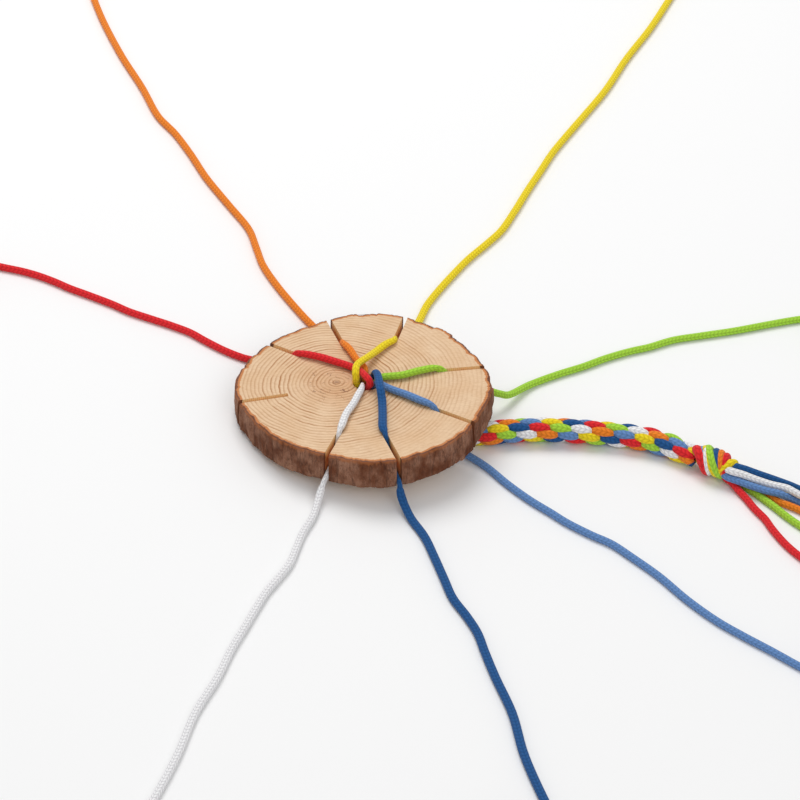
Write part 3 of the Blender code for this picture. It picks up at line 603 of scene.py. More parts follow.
def stained(add, colour, share, most, other):
    """Blend another colour in, up to the most that there can be."""
    share = add("Math", [share, most], operation="MULTIPLY")
    return add("Mix", {0: share, 6: colour, 7: other}, 2, data_type="RGBA")


def across_grain(add, where):
    """A place without its height, and its distance from the middle."""
    flat = add("VectorMath", [where, (1.0, 1.0, 0.0)], operation="MULTIPLY")
    return flat, add("VectorMath", [flat], "Value", operation="LENGTH")


def bark_depth(add, where):
    """Millimetres in from the outside of the slice, made uneven as bark is."""
    uneven = add("TexNoise", {"Vector": where, "Scale": 0.22, "Detail": 3.0})
    depth = add("Attribute", output="Fac", attribute_name="depth")
    return add("Math", [uneven, 1.6, depth], operation="MULTIPLY_ADD")


def branch_wood():
    # End grain of a softwood branch, sawn and sanded: narrow dark late wood rings on pale early wood,
    # a darker heart with its pith off the middle, and a thin ring of bark round the outside.
    material, add, where, settings = wood_material("softwood end grain, sanded")
    smooth_step = {"interpolation_type": "SMOOTHSTEP"}
    times, times_add = {"operation": "MULTIPLY"}, {"operation": "MULTIPLY_ADD"}
    flat, reach = across_grain(add, add("VectorMath", [where, (*PITH, 0.0)], operation="SUBTRACT"))

    # Rings
    bent = reach
    for scale, swing in RING_BENDS:
        wave = add("TexNoise", {"Vector": flat, "Scale": scale})
        bent = add("Math", [wave, swing, bent], **times_add)
    number = add("Math", [bent, settings.ring_spacing / MM], operation="DIVIDE")
    year = add("Math", [number], operation="FRACT")
    slow_rise = add("MapRange", [year, 0.36, 0.84], **smooth_step)
    sharp_fall = add("MapRange", [year, 1.0, 0.92], **smooth_step)
    late = add("Math", [slow_rise, sharp_fall], **times)
    count = add("Math", [number], operation="FLOOR")
    each = add("TexWhiteNoise", {"W": count}, noise_dimensions="1D")
    strong = add("Math", [add("Math", [each, each], **times), 0.7, 0.4], **times_add)
    patches = add("TexNoise", {"Vector": flat, "Scale": 0.11})
    patches = add("MapRange", [patches, 0.25, 0.6], **smooth_step)
    patches = add("Math", [patches, 0.75, 0.25], **times_add)
    zone = add("MapRange", [reach, 56.0, 34.0], **smooth_step)
    zone = add("Math", [zone, 0.7, 0.3], **times_add)
    strength = add("Math", [add("Math", [strong, zone], **times), patches], **times)
    rings = add("Math", [late, strength], **times)

    # Pale wood with darker clouds, its heart, the rings and the fibres
    shade = [channel * left for channel, left in zip(settings.wood_colour, WOOD_SHADE)]
    clouds = add("TexNoise", {"Vector": flat, "Scale": 0.07, "Detail": 4.0})
    clouds = add("MapRange", [clouds, 0.3, 0.7], **smooth_step)
    wood = add("Mix", {0: clouds, 6: settings.wood_colour, 7: shade}, 2, data_type="RGBA")
    ragged = add("TexNoise", {"Vector": flat, "Scale": 0.16, "Detail": 3.0})
    ragged = add("Math", [ragged, 16.0, reach], **times_add)
    heart = add("MapRange", [ragged, 29.0, 12.0], **smooth_step)
    wood = stained(add, wood, heart, 0.45, settings.heart_colour)
    wood = add("Mix", {0: rings, 6: wood, 7: settings.ring_colour}, 2, data_type="RGBA")
    drawn_out = add("VectorMath", [where, (0.4, 1.7, 1.0)], **times)
    fibre = add("TexNoise", {"Vector": drawn_out, "Scale": 1.5, "Detail": 3.0, "Roughness": 0.7})
    wood = stained(add, wood, add("MapRange", [fibre, 0.35, 0.75], **smooth_step), 0.3, settings.ring_colour)

    # Pith with its fine cracks
    broken = add("TexNoise", {"Vector": flat, "Scale": 0.45, "Detail": 1.0})
    broken = add("MapRange", [broken, 0.48, 0.56], **smooth_step)
    crack = winding_lines(add, add("TexNoise", {"Vector": flat, "Scale": 0.2}), 0.014, 0.004)
    crack = add("Math", [crack, broken], **times)
    near_pith = add("MapRange", [reach, 19.0, 8.0], **smooth_step)
    crack = add("Math", [crack, near_pith], **times)
    pith = add("TexNoise", {"Vector": flat, "Scale": 0.6, "Detail": 3.0})
    pith = add("Math", [pith, 4.0, reach], **times_add)
    pith = add("MapRange", [pith, 4.0, 1.9], **smooth_step)
    dark = add("Math", [crack, add("Math", [pith, 0.8], **times)], operation="MAXIMUM")
    wood = stained(add, wood, dark, 0.8, PITH_STAIN)

    # Ring of bark round the outside
    depth = bark_depth(add, where)
    thick = settings.bark_thickness / MM
    outer = add("MapRange", [depth, 2.0, 1.35], **smooth_step)
    edge = {0: outer, 6: settings.inner_bark_colour, 7: settings.bark_colour}
    edge = add("Mix", edge, 2, data_type="RGBA")
    grit = add("TexNoise", {"Vector": where, "Scale": 1.4, "Detail": 3.0})
    grit = add("MapRange", [grit, 0.35, 0.7], **smooth_step)
    edge = stained(add, edge, grit, 0.2, settings.crack_colour)
    in_bark = add("MapRange", [depth, thick + 1.05, thick + 0.75], **smooth_step)
    colour = add("Mix", {0: in_bark, 6: wood, 7: edge}, 2, data_type="RGBA")

    height = add("Math", [add("Math", [fibre, 0.5], **times), rings], operation="SUBTRACT")
    relief = add("Bump", {"Height": height, "Strength": 0.25, "Distance": 0.0001})
    return finish_surface(
        material, Base_Color=colour, Roughness=0.62, Specular_IOR_Level=0.35, Normal=relief
    )


def branch_bark():
    # Dry bark left on the branch: grey-brown plates about 8 mm wide with dark upright cracks, fine
    # upright grain, and a rusty inner layer that shows where the saw has torn the top edge.
    material, add, where, settings = wood_material("dry branch bark")
    plates, lines, flakes, grain, cracks, ragged = (
        add("TexNoise", {
            "Vector": add("VectorMath", [where, (1.0, 1.0, upright)], operation="MULTIPLY"),
            "Scale": scale, "Detail": detail, "Roughness": roughness,
        })
        for scale, detail, upright, roughness in BARK_PATTERNS
    )
    split = winding_lines(add, cracks, 0.014, 0.005)
    level = add("SeparateXYZ", [where], 2)
    torn = add("Math", [ragged, 5.0, level], operation="MULTIPLY_ADD")
    light = add("MapRange", [plates, 0.33, 0.67], interpolation_type="SMOOTHSTEP")
    colour = add("Mix", {0: light, 6: PLATE_DARK, 7: PLATE_LIGHT}, 2, data_type="RGBA")
    flaked = add("MapRange", [flakes, 0.5, 0.8], interpolation_type="SMOOTHSTEP")
    colour = add("Mix", {0: flaked, 6: colour, 7: settings.bark_colour}, 2, data_type="RGBA")
    lined = add("MapRange", [lines, 0.5, 0.34], interpolation_type="SMOOTHSTEP")
    colour = stained(add, colour, lined, 0.3, settings.crack_colour)
    colour = stained(add, colour, split, 0.4, settings.crack_colour)
    grained = add("MapRange", [grain, 0.5, 0.68], interpolation_type="SMOOTHSTEP")
    colour = stained(add, colour, grained, 0.6, settings.crack_colour)
    at_top = add("MapRange", [torn, 13.9, 15.3], interpolation_type="SMOOTHSTEP")
    colour = stained(add, colour, at_top, 0.65, TORN_BARK)

    height = add("Math", [plates, split], operation="SUBTRACT")
    for pattern, part in ((flakes, 0.6), (grain, -0.5), (lines, 0.3)):
        height = add("Math", [pattern, part, height], operation="MULTIPLY_ADD")
    relief = add("Bump", {"Height": height, "Strength": 0.6, "Distance": 0.0005})
    return finish_surface(
        material, Base_Color=colour, Roughness=0.9, Specular_IOR_Level=0.2, Normal=relief
    )


def sawn_wood():
    # Side of a narrow saw slot: fine tooth marks; pale wood painted lighter for the light bounced into the
    # slot, and darker, more orange low down as painted shade of the deep slot, partly real scorch where the
    # blade rubbed.
    material, add, where, settings = wood_material("softwood, saw cut")
    reach = across_grain(add, where)[1]
    teeth = add("Math", [reach, math.tau / TOOTH_SPACING], operation="MULTIPLY")
    teeth = add("Math", [teeth], operation="SINE")
    marks = add("Math", [teeth, 0.5, 0.5], operation="MULTIPLY_ADD")
    uneven = add("TexNoise", {"Vector": where, "Scale": 0.2, "Detail": 3.0})
    level = add("SeparateXYZ", [where], 2)
    low = add("Math", [uneven, 5.0, level], operation="MULTIPLY_ADD")
    # Darker and more orange towards the bottom of the slot: painted shade of the deep slot, partly real
    # scorch where the blade rubbed.
    scorched = add("MapRange", [low, 15.2, 10.0], interpolation_type="SMOOTHSTEP")
    # The pale cut colour is painted lighter to stand in for light bounced into the slot.
    colour = stained(add, settings.cut_colour_painted_lighter, scorched, 0.8, settings.scorch_and_shade_colour)
    colour = stained(add, colour, marks, 0.45, TOOTH_MARK)
    thick, depth = settings.bark_thickness / MM, bark_depth(add, where)
    in_bark = add("MapRange", [depth, thick + 1.15, thick + 0.75], interpolation_type="SMOOTHSTEP")
    colour = add("Mix", {0: in_bark, 6: colour, 7: CUT_BARK}, 2, data_type="RGBA")
    relief = add("Bump", {"Height": marks, "Strength": 0.3, "Distance": 0.0001})
    return finish_surface(
        material, Base_Color=colour, Roughness=0.75, Specular_IOR_Level=0.25, Normal=relief
    )


def cotton(colour_name):
    # Soft plaited cotton cord, dyed through: columns of slanted stitches about 1.2 mm wide that meet
    # in a V, painted lighter on the stitches and darker in the gaps as painted highlight and shade, and a
    # faint fuzz that catches the light at the edges.
    name = "plaited cotton, " + colour_name.replace("_", " ")
    if name in bpy.data.materials:
        return bpy.data.materials[name]
    settings = bpy.context.scene.braiding_disc_cords
    material, add = new_material(name)
    times = {"operation": "MULTIPLY"}
    base = getattr(settings, colour_name)
    where = add("UVMap", uv_map="cord")
    run, turn = (add("SeparateXYZ", [where], part) for part in (0, 1))
    zigzag = add("Math", [add("Math", [turn, CORD_COLUMNS], **times), 1.0], operation="PINGPONG")
    along = add("Math", [run, settings.plait_length / MM], operation="DIVIDE")
    along = add("Math", [zigzag, 0.65, along], operation="MULTIPLY_ADD")
    stitch, column = (
        add("Math", [add("Math", [place, math.pi], **times)], operation="SINE") for place in (along, zigzag)
    )
    stitch = add("Math", [add("Math", [stitch], operation="ABSOLUTE"), 0.5], operation="POWER")
    column = add("Math", [column, 0.6, 0.4], operation="MULTIPLY_ADD")
    pillow = add("Math", [stitch, column], **times)
    place = add("TexCoord", output="Object")
    fuzz, faded = (add("TexNoise", {"Vector": place, "Scale": scale}) for scale in (1800.0, 90.0))
    # Painted highlight on the stitch tops and painted shade in the gaps between stitches, blended by the
    # stitch relief.
    light = [min(1.0, channel * 1.16 + 0.012) for channel in base]
    gap_shade, dull, pale = ([channel * share for channel in base] for share in (0.6, 0.8, 0.85))
    colour = add("Mix", {0: pillow, 6: gap_shade, 7: light}, 2, data_type="RGBA")
    colour = stained(add, colour, fuzz, 0.2, dull)
    colour = stained(add, colour, faded, 0.1, pale)
    height = add("Math", [fuzz, 0.35, pillow], operation="MULTIPLY_ADD")
    relief = add("Bump", {"Height": height, "Strength": 0.5, "Distance": 0.0003})
    return finish_surface(
        material, Base_Color=colour, Roughness=0.88, Specular_IOR_Level=0.2, Normal=relief,
        Sheen_Weight=0.12, Sheen_Roughness=0.5,
    )


# Wooden slice


def outline_radius(bearing):
    radius = DISC_RADIUS
    for waves, height, turn in OUTLINE_WAVES:
        radius += height * math.cos(waves * bearing - math.radians(turn))
    return radius


def bark_relief(bearing, height):
    """How far the bark stands out from the outline at a height above the underside."""
    across = 2 * height / DISC_THICKNESS - 1
    relief = BARK_BULGE * (1 - across * across)
    for count, depth in BARK_LUMPS:
        relief += depth * math.sin(count * bearing + LUMP_LEAN * across)
    return relief


def bark_cracks(bearing, height, depth):
    """Upright cracks, small flakes and stepped plates on top of the bark's broad lumps."""
    around = unit(math.degrees(bearing)) * DISC_RADIUS

    def rough(across, upright, shift=(0.0, 0.0, 0.0)):
        return noise.noise(Vector((around.x * across, around.y * across, height * upright)) + Vector(shift))

    crack = rough(0.24, 0.07)
    flake = rough(0.9, 0.45, (9.0, 4.0, 2.0))
    plate = (bearing * BARK_PLATES / math.tau + PLATE_LEAN * rough(0.08, 0.1)) % BARK_PLATES
    here, before = (
        noise.cell(Vector(((math.floor(plate) - back) % BARK_PLATES + 0.5, 0.5, 0.5))) for back in (0, 1)
    )
    step = before + (here - before) * smooth((plate % 1.0) * CRACK_SHARPNESS)
    split = smooth(1 - abs(crack) * CRACK_SHARPNESS)
    return -depth * split + FLAKE_SHARE * depth * flake + PLATE_STEP * (step - 0.5)


def from_middle(place):
    """The bearing and the distance of a place from the middle of the slice."""
    around = place.xy - Vector(DISC_MIDDLE)
    return math.atan2(around.y, around.x), around.length


def slice_solid(depth):
    """The slice as a bmesh: a cylinder with loops up its side, and rings let into both faces."""
    work = bmesh.new()
    bmesh.ops.create_cone(
        work, cap_ends=True, segments=SIDE_STEPS, radius1=1.0, radius2=1.0, depth=2.0,
    )
    caps = [face for face in work.faces if len(face.verts) > 4]
    uprights = [edge for edge in work.edges if abs(edge.verts[0].co.z - edge.verts[1].co.z) > 1.0]
    last = len(SIDE_LEVELS) - 1
    bmesh.ops.subdivide_edges(work, edges=uprights, cuts=last - 1)
    for vert in work.verts:
        bearing = math.atan2(vert.co.y, vert.co.x)
        step = round((vert.co.z + 1) / 2 * last)
        level = SIDE_LEVELS[step]
        radius = outline_radius(bearing) + bark_relief(bearing, level)
        radius += bark_cracks(bearing, level, depth) - EDGE_ROUNDING.get(min(step, last - step), 0.0)
        vert.co = slice_point(bearing, radius, level)
    for cap in caps:
        level = DISC_THICKNESS if cap.verts[0].co.z > DISC_THICKNESS / 2 else 0.0
        for inward in FACE_RINGS:
            bmesh.ops.inset_region(work, faces=[cap], thickness=0.05, use_boundary=True)
            for vert in cap.verts:
                bearing = from_middle(vert.co)[0]
                vert.co = slice_point(bearing, outline_radius(bearing) - inward, level)
    return work


def slice_point(bearing, radius, level):
    return Vector((*DISC_MIDDLE, level)) + unit(math.degrees(bearing)) * radius


def saw_and_drill():
    """Cutters for all slots and the hole as one bmesh in the disc frame."""
    work = bmesh.new()
    beyond = 2.0
    for bearing, reach, heading in SLOTS.values():
        box = bmesh.ops.create_cube(work, size=1.0)["verts"]
        bmesh.ops.scale(work, vec=(DISC_RADIUS, KERF, DISC_THICKNESS + 2 * beyond), verts=box)
        middle = unit(bearing) * reach + unit(heading) * DISC_RADIUS / 2
        place = Matrix.Translation((middle.x, middle.y, DISC_THICKNESS / 2))
        place = place @ Matrix.Rotation(math.radians(heading), 4, "Z")
        bmesh.ops.transform(work, matrix=place, verts=box)
    outer = HOLE_RADIUS + HOLE_FLARE + beyond
    profile = (
        (0.0, DISC_THICKNESS + beyond), (outer, DISC_THICKNESS + beyond),
        (HOLE_RADIUS, DISC_THICKNESS - HOLE_FLARE), (HOLE_RADIUS, HOLE_FLARE),
        (outer, -beyond), (0.0, -beyond),
    )
    drill = bmesh.new()
    verts = [drill.verts.new((radius, 0.0, height)) for radius, height in profile]
    edges = [drill.edges.new(pair) for pair in zip(verts, verts[1:])]
    bmesh.ops.spin(
        drill, geom=verts + edges, cent=(0, 0, 0), axis=(0, 0, 1), dvec=(0, 0, 0),
        angle=math.tau, steps=HOLE_STEPS, use_merge=True, use_duplicate=False,
    )
    bmesh.ops.remove_doubles(drill, verts=drill.verts, dist=0.001)
    bmesh.ops.recalc_face_normals(drill, faces=drill.faces)
    turned = bpy.data.meshes.new("drill")
    drill.to_mesh(turned)
    drill.free()
    work.from_mesh(turned)
    bpy.data.meshes.remove(turned)
    return work


def cut_mesh(whole, tools, materials):
    """The first bmesh less the second. Cut faces take the last material."""
    things = []
    for work, name, index in ((whole, "whole", 0), (tools, "tools", len(materials) - 1)):
        for face in work.faces:
            face.material_index = max(face.material_index, index)
        things.append(new_object(work, name, materials))
    cut = things[0].modifiers.new("cut", "BOOLEAN")
    cut.operation = "DIFFERENCE"
    cut.object = things[1]
    cut.solver = "EXACT"
    cut.use_self = True
    cut.material_mode = "INDEX"
    graph = bpy.context.evaluated_depsgraph_get()
    made = bmesh.new()
    made.from_object(things[0], graph)
    for thing in things:
        mesh = thing.data
        bpy.data.objects.remove(thing, do_unlink=True)
        bpy.data.meshes.remove(mesh)
    return made


class BRAIDDISC_OT_slice(bpy.types.Operator):
    """Saw the slice of branch with its bark, hole and slots"""
    bl_idname = "braiding_disc.saw_slice"
    bl_label = "Saw the wooden slice"

    def execute(self, context):
        depth = context.scene.braiding_disc_wood.fissure_depth / MM
        materials = (branch_wood(), branch_bark(), sawn_wood())
        whole = slice_solid(depth)
        for face in whole.faces:
            face.material_index = 0 if abs(face.normal.z) > 0.9 else 1
        work = cut_mesh(whole, saw_and_drill(), materials)
        inward = work.verts.layers.float.new("depth")
        for vert in work.verts:
            bearing, reach = from_middle(vert.co)
            level = vert.co.z
            rim = outline_radius(bearing) + bark_relief(bearing, level) + bark_cracks(bearing, level, depth)
            vert[inward] = rim - reach
        for face in work.faces:
            face.smooth = face.material_index == 1
        bmesh.ops.triangulate(work, faces=[face for face in work.faces if len(face.verts) > 4])
        bmesh.ops.transform(work, matrix=disc_place(), verts=work.verts)
        finish_piece(work, "wood_slice", materials, ["wood_disc"])
        return {"FINISHED"}


# Cords


def slot_line(slot):
    """The inner end of a slot, and its way outwards, in the disc frame."""
    bearing, reach, heading = SLOTS[slot]
    return unit(bearing) * reach, unit(heading)


def rim_distance(slot):
    start, way = slot_line(slot)
    start -= Vector((*DISC_MIDDLE, 0.0))
    along = start.dot(way)
    return -along + math.sqrt(along * along - start.length_squared + DISC_RADIUS ** 2)


def slot_route(slot):
    """The cord down its slot and out of the mouth, in the disc frame, as heights above the top face."""
    late = slot in LATE_SLOTS
    fall = (LATE_FALL if late else SLOT_FALL) + tuple((rim_distance(slot) + x, z) for x, z in SLOT_MOUTH)
    steps = list(LATE_ENTRY if late else SLOT_ENTRY)
    steps += [(run, height, PINCHED_RADIUS) for run, height in (DROP if slot == STRAIGHT_DOWN else fall)]
    start, way = slot_line(slot)
    return [(*(start + way * run).xy, height, radius) for run, height, radius in steps]


def raised(point):
    """A point of a cord on the floor. One without a height lies flat on it."""
    return point if len(point) == 3 else (*point, CORD_RADIUS)


def cord_route(slot, place):
    """The whole free run of a cord from the hole to the start of its coil, in world millimetres."""
    route = []
    for x, y, height, radius in (*OVER_DISC[slot], *slot_route(slot)):
        point = place @ Vector((x, y, DISC_THICKNESS + height))
        route.append((*point, radius))
    route += [(*raised(point), CORD_RADIUS) for point in ON_FLOOR[slot]]
    return smooth_curve(route)


def coil_route(slot, route):
    """The rest of a cord, wound up: one turn, a second inside it, and two more on top of them."""
    end = Vector(route[-1][:2])
    heading = (end - Vector(route[-4][:2])).normalized()
    side = Vector((-heading.y, heading.x)) * COIL_SIDE[slot]
    lead = math.sqrt((COIL_RADIUS + CORD_RADIUS + GAP) ** 2 - (COIL_RADIUS - CORD_RADIUS) ** 2)
    middle = end + heading * lead + side * COIL_RADIUS
    turns = [(*(end + heading * lead * share), CORD_RADIUS, CORD_RADIUS) for share in (0.25, 0.5, 0.75)]
    rest = WORKING_LENGTH - run_length(route)
    for (start, radius, level), (stop, next_radius, next_level) in zip(COIL_TURNS, COIL_TURNS[1:]):
        for angle in range(start, stop, COIL_ANGLE):
            share = smooth((angle - start) / (stop - start))
            reach = COIL_RADIUS - TURN_PITCH * (radius + (next_radius - radius) * share)
            height = CORD_RADIUS + TURN_PITCH * (level + (next_level - level) * share)
            turn = math.radians(angle)
            spot = middle - side * reach * math.cos(turn) + heading * reach * math.sin(turn)
            ahead = (*spot, height, CORD_RADIUS)
            left = rest - run_length([route[-1]] + turns)
            if math.dist(turns[-1][:3], ahead[:3]) > left:
                turns.append(tuple(mix(turns[-1], ahead, left / math.dist(turns[-1][:3], ahead[:3]))))
                return turns
            turns.append(ahead)
    raise RuntimeError("The coil has no room for the rest of the " + slot + " cord")


def pinch(radius, breadth):
    """Half width and half height of a cord: pressed narrow and tall where its slot holds it."""
    free, swollen, pressed, risen = (smooth((radius - low) / (high - low)) for low, high in PINCH_RANGES)
    swell = 1 + SLOT_SWELL * swollen * free
    squeezed = radius + (KERF / 2 - WALL_PLAY - radius) * pressed
    broad = 1 + (breadth - 1) * free
    return squeezed * swell * broad, radius * swell / broad + SLOT_RISE * risen


def make_cord(name, points, middle, across, colour_name, nodes, breadth=1.0):
    """A loose cord with bare ends along the points, upright to the given side near the middle given."""
    points = resample(points, CORD_STEP)
    start = min(range(len(points)), key=lambda i: math.dist(points[i][:3], middle))
    centres, frames = carried_frames(points, start, across)
    sizes = [pinch(point[3], breadth) for point in points]
    for ring in (0, -1):
        sizes[ring] = tuple(size * END_SHRINK for size in sizes[ring])
    work, uv_map = cord_work()
    add_tube(work, uv_map, centres, frames, sizes, CORD_SIDES, 0)
    piece = finish_piece(work, name, [cotton(colour_name)], nodes)


class BRAIDDISC_OT_cords(bpy.types.Operator):
    """Lay the seven cords from the hole over the disc, down their slots and along the floor"""
    bl_idname = "braiding_disc.lay_cords"
    bl_label = "Lay the working cords"

    def execute(self, context):
        place = disc_place()
        for slot in OVER_DISC:
            route = cord_route(slot, place)
            route += [list(point) for point in coil_route(slot, route)]
            start, way = slot_line(slot)
            held = place @ (start + way * HELD_AT[0] + UP * HELD_AT[1])
            make_cord(
                "working_cord_" + slot, route, held, place.to_3x3() @ UP.cross(way), slot,
                ["cord_" + slot, "coil_" + slot], CORD_BREADTH.get(slot, 1.0),
            )
        return {"FINISHED"}


# Braid


def underside_height(place, x, y):
    normal = (place.to_3x3() @ UP).normalized()
    at = place.translation
    return at.z - (normal.x * (x - at.x) + normal.y * (y - at.y)) / normal.z


def floor_section(place, point, way):
    """One upright section of the braid on the floor, pressed flat where the disc lies on it."""
    x, y = point[:2]
    reach = math.hypot(x - place.translation.x, y - place.translation.y)
    room = underside_height(place, x, y) - UNDER_DISC_GAP - FLOOR_CLEARANCE
    covered = reach < DISC_RADIUS + CORD_DIAMETER
    half = min(BRAID_RADIUS, room / 2) if covered else BRAID_RADIUS
    width = BRAID_RADIUS + BRAID_SPREAD * (BRAID_RADIUS - half)
    middle = Vector((x, y, FLOOR_CLEARANCE + half))
    return middle, UP, way.cross(UP), half, width


def braid_sections(place):
    """The braid's sections from the hole to the knot: middle, up, sideways, half height, half width."""
    normal = place.to_3x3() @ UP
    hole = place.translation
    heading = (Vector((*BRAID_ROUTE[0], 0.0)) - Vector((hole.x, hole.y, 0.0))).normalized()
    sideways = heading.cross(UP).normalized()
    in_plane = sideways.cross(normal).normalized()
    in_plane = in_plane if in_plane.dot(heading) > 0 else -in_plane
    sections = []
    for step in range(HOLE_SECTIONS):
        height = BRAID_TOP * (1 - step / HOLE_SECTIONS)
        sections.append((hole + normal * height, in_plane, sideways, BRAID_IN_HOLE, BRAID_IN_HOLE))
    pivot = hole + in_plane * BRAID_IN_HOLE - normal * UNDER_DISC_GAP
    first = math.atan2(in_plane.z, in_plane.dot(heading))
    drop = pivot.z - FLOOR_CLEARANCE
    width_below = BRAID_RADIUS + BRAID_SPREAD * (BRAID_RADIUS - drop / 2)
    for step in range(BEND_SECTIONS):
        share = step / BEND_SECTIONS
        lean = first + (math.pi / 2 - first) * share
        up = heading * math.cos(lean) + UP * math.sin(lean)
        across = (math.cos(lean) / (2 * BRAID_IN_HOLE)) ** BEND_ROUNDNESS
        upright = (math.sin(lean) / drop) ** BEND_ROUNDNESS
        half = (across + upright) ** (-1 / BEND_ROUNDNESS) / 2
        width = BRAID_IN_HOLE + (width_below - BRAID_IN_HOLE) * share
        sections.append((pivot - up * half, up, sideways, half, width))
    plan = smooth_curve([(x, y, 0.0, 0.0) for x, y in (pivot.xy, *BRAID_ROUTE)])
    run = due = 0.0
    for here, ahead in zip(plan, plan[1:]):
        if run >= due:
            way = Vector((ahead[0] - here[0], ahead[1] - here[1], 0.0)).normalized()
            sections.append(floor_section(place, here, way))
            due += SECTION_SPACING
        run += math.dist(here[:2], ahead[:2])
    sections.append(floor_section(place, plan[-1], way))
    return sections


def strand_steps(colour_index, cell, first_cell, total):
    """One cord of the braid: distance along it, row, distance from its middle, and share of full size.

    There are eight rows round the braid. A cord lies on the outside of one row for a cell, then
    passes inside behind two others and comes out three rows on, seven moves later.
    """
    start = first_cell + colour_index * cell
    first = math.floor(-(start + cell) / (CELL_SHIFT * cell))
    last = math.ceil((total + cell - start) / (CELL_SHIFT * cell))
    steps = []
    for number in range(first, last + 1):
        row = -3 * number
        slack = noise.noise(Vector((1.7 * number, 3.1 * colour_index, 0.5)))
        drift = noise.noise(Vector((1.3 * number, 2.3 * colour_index, 7.5)))
        middle = start + (CELL_SHIFT * number + DRIFT[0] * drift) * cell
        half = (CELL_HALF + SLACK[0] * slack) * cell
        for share in CELL_STEPS:
            out = math.sqrt(max(0.0, 1 - share * share))
            reach = CELL_REACH + (OUTER_REACH - CELL_REACH + SLACK[1] * slack) * out ** 0.8
            turn = row + CELL_LEAN * share + DRIFT[1] * drift
            steps.append((middle + share * half, turn, reach, out))
        for share in (0.33, 0.66):
            steps.append((middle + half - 0.025 * share * cell, row - 3 * share, INNER_REACH, 0.0))
    return steps


class BRAIDDISC_OT_braid(bpy.types.Operator):
    """Plait the seven cords into the round braid that hangs down the hole"""
    bl_idname = "braiding_disc.plait_braid"
    bl_label = "Plait the round braid"

    def execute(self, context):
        settings = context.scene.braiding_disc_braid
        cell = settings.cell_length / MM
        sections = braid_sections(disc_place())
        runs = running_lengths([section[0] for section in sections])
        total = runs[-1]
        before_knot, squeezed, squeeze = KNOT_SQUEEZE

        def place_at(run, bearing, reach):
            run = min(max(run, 0.0), total)
            after = max(1, next(i for i, value in enumerate(runs) if value >= run))
            share = (run - runs[after - 1]) / (runs[after] - runs[after - 1])
            low, high = sections[after - 1], sections[after]
            middle, up, sideways = (low[i].lerp(high[i], share) for i in range(3))
            half, width = (low[i] + (high[i] - low[i]) * share for i in (3, 4))
            outward = up * math.sin(bearing) * half + sideways * math.cos(bearing) * width
            return middle + outward * reach / BRAID_RADIUS, outward / BRAID_RADIUS

        work, uv_map = cord_work()
        for colour_index in range(len(BRAID_ORDER)):
            steps = strand_steps(colour_index, cell, settings.first_cell / MM, total)
            line = []
            for run, row, reach, out in (step for step in steps if 0.0 <= step[0] <= total):
                bearing = settings.row_turn + settings.twist * run - math.tau * row / ROWS
                near_knot = 1 - squeeze * smooth((run - total + before_knot) / squeezed)
                spot, outward = place_at(run, bearing, reach * near_knot)
                line.append((*spot, out, *outward))
            spot, outward = place_at(total, bearing, END_REACH)
            line.append((*spot, 0.0, *outward))
            points = strand_curve(line)
            centres = [Vector(point[:3]) for point in points]
            frames = []
            sizes = []
            for i, point in enumerate(points):
                way = (centres[min(i + 1, len(centres) - 1)] - centres[max(i - 1, 0)]).normalized()
                outward = Vector(point[4:7])
                side = way.cross(outward)
                side = side.normalized() if side.length > 0.1 else frames[-1][0]
                frames.append((side, side.cross(way).normalized()))
                flat = min(1.0, outward.length)
                wide, high = (low + gain * point[3] for low, gain in (STRAND_WIDTH, STRAND_HEIGHT))
                sizes.append((wide, high * flat))
            add_tube(work, uv_map, centres, frames, sizes, STRAND_SIDES, colour_index)
        for vert in work.verts:
            vert.co.z = max(vert.co.z, 0.0)
        materials = [cotton(name) for name in BRAID_ORDER]
        piece = finish_piece(work, "round_braid", materials, ["braid"])
        line = in_metres([section[0] for section in sections])
        return {"FINISHED"}


def strand_curve(points):
    """Closely spaced points on a smooth curve through points of any number of values."""
    chain = [points[0], *points, points[-1]]
    curve = []
    for before, start, end, after in zip(chain, chain[1:], chain[2:], chain[3:]):
        pieces = max(1, round(math.dist(start[:3], end[:3]) / STRAND_STEP))
        for piece in range(pieces):
            t = piece / pieces
            curve.append([
                0.5 * (
                    2 * b + (c - a) * t + (2 * a - 5 * b + 4 * c - d) * t ** 2
                    + (3 * b - a - 3 * c + d) * t ** 3
                )
                for a, b, c, d in zip(before, start, end, after)
            ])
    curve.append(list(points[-1]))
    return curve


# Knot and loose ends


